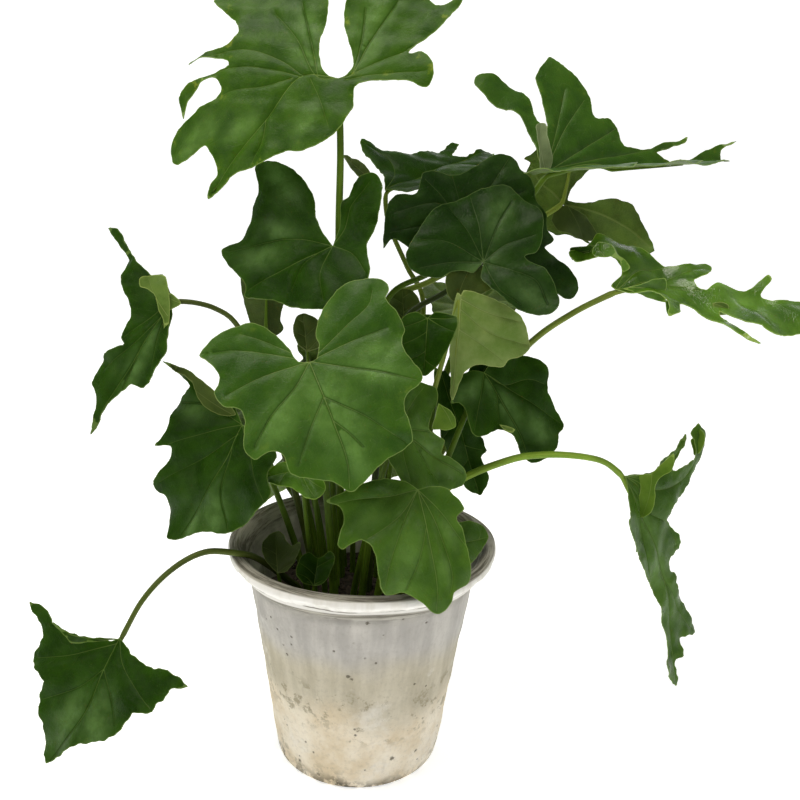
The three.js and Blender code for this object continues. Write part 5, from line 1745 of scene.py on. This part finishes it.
# %% Lip, worn top and inner wall
ACROSS_STROKES = 22.0


def worn_clay(paint):
    rings = paint.node("ShaderNodeCombineXYZ")
    paint.link(paint.times(paint.radius, ACROSS_STROKES), rings.inputs["X"])
    paint.link(paint.x, rings.inputs["Y"])
    paint.link(paint.y, rings.inputs["Z"])
    brushed = paint.ramp(paint.noise(rings.outputs[0], 18, 6, 0.7), 0.40, 0.62)
    return paint.mix(brushed, (0.13, 0.12, 0.095), (0.46, 0.44, 0.38))


def finish_the_rim(paint, colour):
    height, radius, streaks = paint.height, paint.radius, paint.streaks
    ragged = paint.plus(height, paint.times(paint.noise(paint.here, 55, 5, 0.65), 0.010))
    lip = paint.times(paint.ramp(ragged, 0.2155, 0.2170), paint.ramp(radius, 0.122, 0.125))
    white = paint.mix(paint.ramp(streaks, 0.3, 0.6), (0.80, 0.78, 0.72), (0.96, 0.95, 0.92))
    colour = paint.mix(lip, colour, white)
    facing = paint.node("ShaderNodeSeparateXYZ")
    paint.link(paint.node("ShaderNodeNewGeometry").outputs["Normal"], facing.inputs[0])
    rim_top = paint.times(paint.ramp(facing.outputs["Z"], 0.45, 0.75), paint.ramp(height, 0.205, 0.215))
    inner_edge = paint.times(paint.ramp(radius, 0.1195, 0.1215, 1.0, 0.0),
                             paint.ramp(height, 0.185, 0.205))
    colour = paint.mix(paint.math("MAXIMUM", rim_top, inner_edge), colour, worn_clay(paint))
    wall_inside = paint.ramp(paint.minus(radius, paint.times(height, 0.157)), 0.0755, 0.0790, 1.0, 0.0)
    # The inner wall, below the rim, is a darker streaked grey.
    inner_wall_grey = paint.mix(paint.ramp(streaks, 0.35, 0.65), (0.36, 0.35, 0.32), (0.60, 0.585, 0.545))
    return paint.mix(paint.times(wall_inside, 0.85), colour, inner_wall_grey)


print("rim is ready")


# %% [markdown]
# ## Single marks
# A few clear marks tell this pot from another: some dark pits, and a thin dark line under the lip,
# partly a crack and partly painted shade beneath the lip's edge. A pit is the distance to its place
# in millimetres, shaken by a fine noise so that its edge is ragged. The line under the lip is thin,
# at one height, wavering and broken up.

# %% Pits, and the crack and painted shade under the lip
PITS = [
    ((-10, -101, 134), 2.6), ((-7, -101, 131), 2.0), ((-36, -75, 12), 3.0), ((33, -80, 34), 3.2),
    ((-67, -78, 142), 2.0), ((-62, -86, 165), 1.8), ((6, -110, 193), 2.2), ((-55, -64, 18), 2.6),
    ((56, -66, 32), 2.4), ((-2, -92, 67), 1.6), ((40, -92, 60), 1.6),
]
PIT_BROWN = (0.10, 0.085, 0.06)
LIP_LINE_HEIGHT = 0.2135
SHAKE = 0.004


# A dark line under the lip: partly a crack, partly painted shade where the lip overhangs.
def shade_and_crack_under_lip(paint):
    wavering = paint.plus(paint.height, paint.times(paint.noise(paint.here, 40, 4), 0.006))
    away = paint.math("ABSOLUTE", paint.minus(wavering, LIP_LINE_HEIGHT))
    broken = paint.times(paint.outer_wall, paint.ramp(paint.noise(paint.here, 30, 4), 0.45, 0.55))
    return paint.times(paint.ramp(away, 0.0002, 0.0009, 1.0, 0.0), broken)


def pit(paint, colour, place_mm, size_mm):
    fine = paint.node("ShaderNodeTexNoise")
    fine.inputs["Scale"].default_value = 300
    shaken = paint.node("ShaderNodeVectorMath", operation="MULTIPLY_ADD")
    paint.link(fine.outputs["Color"], shaken.inputs[0])
    shaken.inputs[1].default_value = (SHAKE, SHAKE, SHAKE)
    paint.link(paint.here, shaken.inputs[2])
    away = paint.node("ShaderNodeVectorMath", operation="DISTANCE")
    paint.link(shaken.outputs[0], away.inputs[0])
    away.inputs[1].default_value = tuple(value * MM + SHAKE / 2 for value in place_mm)
    share = paint.ramp(away.outputs["Value"], 0.55 * size_mm * MM, size_mm * MM, 0.85, 0.0)
    return paint.mix(share, colour, PIT_BROWN)


print(len(PITS), "pits")


# %% [markdown]
# ## The whole wall
# All coats go on in order. The holes, the lime dabs and the dark line under the lip also shape the
# relief, so that they catch the light as well.

# %% Paint the pot
def whitewash():
    paint = PotPaint("whitewashed clay")
    here = paint.here
    lime = paint.ramp(paint.noise(here, 17, 6, 0.68), 0.54, 0.68, 0.0, 0.42)
    holes, dark_lip_line = holes_in(paint), shade_and_crack_under_lip(paint)
    colour = age_the_wall(paint, washes(paint, lime), holes)
    colour = finish_the_rim(paint, colour)
    # Painted shade and a crack: the dark line under the lip.
    colour = paint.mix(paint.times(dark_lip_line, 0.8), colour, (0.14, 0.12, 0.09))
    for place_mm, size_mm in PITS:
        colour = pit(paint, colour, place_mm, size_mm)
    rough = paint.minus(paint.times(paint.noise(here, 150, 5, 0.65), 0.7), paint.times(holes, 1.2))
    rough = paint.plus(rough, paint.times(paint.noise(here, 38, 4, 0.6), 1.8))
    rough = paint.plus(rough, paint.times(lime, 0.9))
    rough = paint.minus(rough, paint.times(dark_lip_line, 1.2))
    paint.bump(rough, 1.1, 0.75)
    return paint.finish(colour, 0.82, Specular_IOR_Level=0.25)


pot.data.materials.append(whitewash())
hand_over(pot, "pot", "pot")
print("nodes in the whitewash:", len(pot.data.materials[0].node_tree.nodes))


# %% [markdown]
# ## The soil
# Moist bark compost fills the pot to three fingers' width under the rim, heaped a little inside.
# A round disc would leave gaps at the pot's uneven wall. So its body is spun like the pot, and then
# each point is moved out or in until the soil fits the wall.

# %% Fill the pot with soil
SOIL_SIDES = 120
TOP_RINGS = 40
WALL_GAP = 0.5


def inner_radius(angle, z):
    """How far the pot's inner wall is from the axis, in one direction and at one height."""
    neck = POT_HEIGHT - NECK_DROP - 8
    swell, lift = unevenness(angle, np.full_like(angle, neck))
    foot = FOOT_RADIUS - WALL + 2
    share = (z - FLOOR - 3) / (neck + lift - FLOOR - 3)
    return foot + share * ((NECK_RADIUS - WALL) * swell - foot)


def soil_height(x, y):
    share = np.hypot(x, y) / (NECK_RADIUS - WALL)
    heap = 5 * np.cos(3 * share) + 2 * np.sin(8 * x / 100 + 1) * np.cos(9 * y / 100)
    crumble = 1.1 * np.sin(x / 5.3 + 2) * np.sin(y / 4.7) + 0.8 * np.sin(x / 2.9 + y / 3.7)
    return SOIL_LEVEL + heap + crumble


soil_profile = [(0.0, 12.5), (0.93, 12.5), (1.0, 15), (1.0, 90), (1.0, SOIL_LEVEL)]
soil_profile += [(1 - k / TOP_RINGS, SOIL_LEVEL) for k in range(1, TOP_RINGS + 1)]
soil = spun("soil_body", soil_profile, SOIL_SIDES)
place = points_of(soil)
angle = np.arctan2(place[:, 1], place[:, 0])
share = np.hypot(place[:, 0], place[:, 1])
top = place[:, 2] > SOIL_LEVEL - 1
reach = share * (inner_radius(angle, place[:, 2]) - WALL_GAP)
x, y = reach * np.cos(angle), reach * np.sin(angle)
z = np.where(top, soil_height(x, y), place[:, 2])
move_points(soil, np.stack([x, y, z], axis=1))
print("soil body:", triangles_in(soil), "triangles")


# %% [markdown]
# ## Crumbs on the soil
# The surface is loose, with crumbs and bits of bark. A particle system could strew them, but it
# would leave copies that aren't real meshes. So one ball is modelled and copied, and each copy is
# dented, squashed and turned its own way.

# %% Strew the crumbs
CRUMBS = 420
HEAP_RADIUS = 96
SUNK = 0.4
bpy.ops.object.select_all(action="DESELECT")
bpy.ops.mesh.primitive_ico_sphere_add(subdivisions=2, radius=MM)
crumb = bpy.context.active_object
shape = points_of(crumb)
crumbs = []
draw = np.random.default_rng(5)
for _ in range(CRUMBS):
    turn = np.array(Euler(draw.uniform(0, 6.28, 3)).to_matrix())
    far, round_ = HEAP_RADIUS * math.sqrt(draw.uniform(0, 1)), draw.uniform(0, 6.28)
    x, y = far * math.cos(round_), far * math.sin(round_)
    squash = draw.uniform(0.35, 1.0, 3) * draw.uniform(1.4, 4.2)
    bumps = 1 + 0.18 * np.sin(shape * draw.uniform(2, 5) + draw.uniform(0, 6)).sum(axis=1, keepdims=True)
    lump = crumb.copy()
    lump.data = crumb.data.copy()
    bpy.context.scene.collection.objects.link(lump)
    move_points(lump, (shape * bumps * squash) @ turn.T + (x, y, soil_height(x, y) + SUNK))
    crumbs.append(lump)
bpy.data.objects.remove(crumb)
soil = join([soil, *crumbs], "potting_soil")
smooth_all(soil, 40)
print(len(crumbs), "crumbs")


# %% [markdown]
# ## Compost finish
# Compost is nearly black when moist, brown where it dries, with lighter bits of bark. One fine noise
# gives both the colour and the relief, so that the light grains stand up.

# %% Paint the soil
def compost():
    paint = Paint("bark compost")
    spot = paint.spot()
    grain = paint.noise(spot, 240, 6, 0.7)
    colour = paint.mix(paint.ramp(grain, 0.35, 0.7), (0.010, 0.007, 0.005), (0.060, 0.042, 0.028))
    bits = paint.ramp(paint.noise(spot, 90, 3), 0.60, 0.68, 0.0, 0.7)
    colour = paint.mix(bits, colour, (0.16, 0.11, 0.07))
    paint.bump(grain, 1.2, 0.8)
    return paint.finish(colour, 0.95)


soil.data.materials.append(compost())
hand_over(soil, "soil", "soil")
print("soil:", triangles_in(soil), "triangles")


# %% [markdown]
# ## The sheet
# The plant stands on a white sheet that runs from the floor up into a backdrop. A plain floor would
# end in a hard line behind the plant, so the sheet is extruded upwards and its corner is bevelled
# into one soft bend. It glows a little, more towards the back: painted light, for the sheet is no
# lamp.

# %% White sheet
SHEET_SIZE = 10
BACKDROP_HEIGHT = 4
BEND_WIDTH = 1.2
bpy.ops.object.select_all(action="DESELECT")
bpy.ops.mesh.primitive_plane_add(size=SHEET_SIZE, location=(0, -1.5, 0))
sheet = bpy.context.active_object
sheet.name = "white_sheet"
bpy.ops.object.mode_set(mode="EDIT")
bpy.ops.mesh.select_all(action="DESELECT")
bpy.ops.object.mode_set(mode="OBJECT")
for edge in sheet.data.edges:
    edge.select = all(sheet.data.vertices[k].co.y > 0 for k in edge.vertices)
bpy.ops.object.mode_set(mode="EDIT")
bpy.ops.mesh.select_mode(type="EDGE")
bpy.ops.mesh.extrude_region_move(TRANSFORM_OT_translate={"value": (0, 0, BACKDROP_HEIGHT)})
bpy.ops.object.mode_set(mode="OBJECT")
bend = sheet.modifiers.new("bend", "BEVEL")
bend.width = BEND_WIDTH
bend.segments = 12
bend.limit_method = "ANGLE"
apply_all(sheet)
smooth_all(sheet)
paint = Paint("white sheet")
tone = paint.noise(paint.spot(), 3, 3)
colour = paint.mix(tone, (0.92, 0.92, 0.92), (0.95, 0.95, 0.95))
sheet.data.materials.append(paint.finish(colour, 0.9, Emission_Color=(0.96, 0.98, 1, 1)))
axes = paint.node("ShaderNodeSeparateXYZ")
paint.link(paint.spot(), axes.inputs[0])
# Painted light: the sheet glows, more towards the back, though it is no lamp.
paint.link(paint.ramp(axes.outputs["Y"], 0.0, 1.1, 0.24, 0.62), paint.skin.inputs["Emission Strength"])
print("sheet:", triangles_in(sheet), "triangles")


# %% [markdown]
# ## Light
# Broad soft lamps stand above and at both sides. Waxy leaves mirror whatever is large and bright, so
# the room itself stays dim: then the greens stay deep, and the lamps draw soft sheens on the blades,
# beside the sheens that are painted into the leaves' colour.

# %% Light
WARM = (1.0, 0.95, 0.84)
ROOM_STRENGTH = 0.20
bpy.context.scene.view_settings.view_transform = "Standard"
world = bpy.data.worlds.new("dim white room")
bpy.context.scene.world = world
world.use_nodes = True
world.node_tree.nodes["Background"].inputs["Color"].default_value = (1, 0.98, 0.92, 1)
world.node_tree.nodes["Background"].inputs["Strength"].default_value = ROOM_STRENGTH


def lamp(name, place, target, size, watts):
    data = bpy.data.lights.new(name, "AREA")
    data.shape = "DISK"
    data.size = size
    data.energy = watts
    data.color = WARM
    light = bpy.data.objects.new(name, data)
    bpy.context.scene.collection.objects.link(light)
    light.location = place
    light.rotation_euler = (Vector(target) - Vector(place)).to_track_quat("-Z", "Y").to_euler()


lamp("ceiling", (-0.5, -0.1, 2.2), (0, 0, 0.4), 1.3, 24)
lamp("left window", (-1.7, -1.1, 1.5), (0, 0, 0.4), 0.9, 9)
lamp("right window", (1.6, -1.3, 1.3), (0, 0, 0.35), 0.8, 6)
print(len(bpy.data.lights), "lamps")


# %% [markdown]
# ## Camera
# A camera is a place, three turns and a lens. The lens is given as a focal length in pixels of the
# square picture, and turned into millimetres of a common sensor.

# %% Camera
PICTURE = 800
FOCAL_PIXELS = 860
SENSOR_MM = 36
STAND_MM = (0, -784.5, 575.4)
YAW = 0.0399
DIP = 0.2606
ROLL = 0.0376
camera_data = bpy.data.cameras.new("camera")
camera_data.sensor_width = SENSOR_MM
camera_data.lens = SENSOR_MM * FOCAL_PIXELS / PICTURE
camera = bpy.data.objects.new("camera", camera_data)
bpy.context.scene.collection.objects.link(camera)
ahead = Vector((math.sin(YAW) * math.cos(DIP), math.cos(YAW) * math.cos(DIP), -math.sin(DIP)))
right = ahead.cross(Vector((0, 0, 1))).normalized()
up = right.cross(ahead)
right, up = right * math.cos(ROLL) + up * math.sin(ROLL), up * math.cos(ROLL) - right * math.sin(ROLL)
stance = Matrix((right, up, -ahead)).transposed().to_4x4()
stance.translation = Vector(STAND_MM) * MM
camera.matrix_world = stance
bpy.context.scene.camera = camera
print("lens:", round(camera_data.lens, 1), "mm")
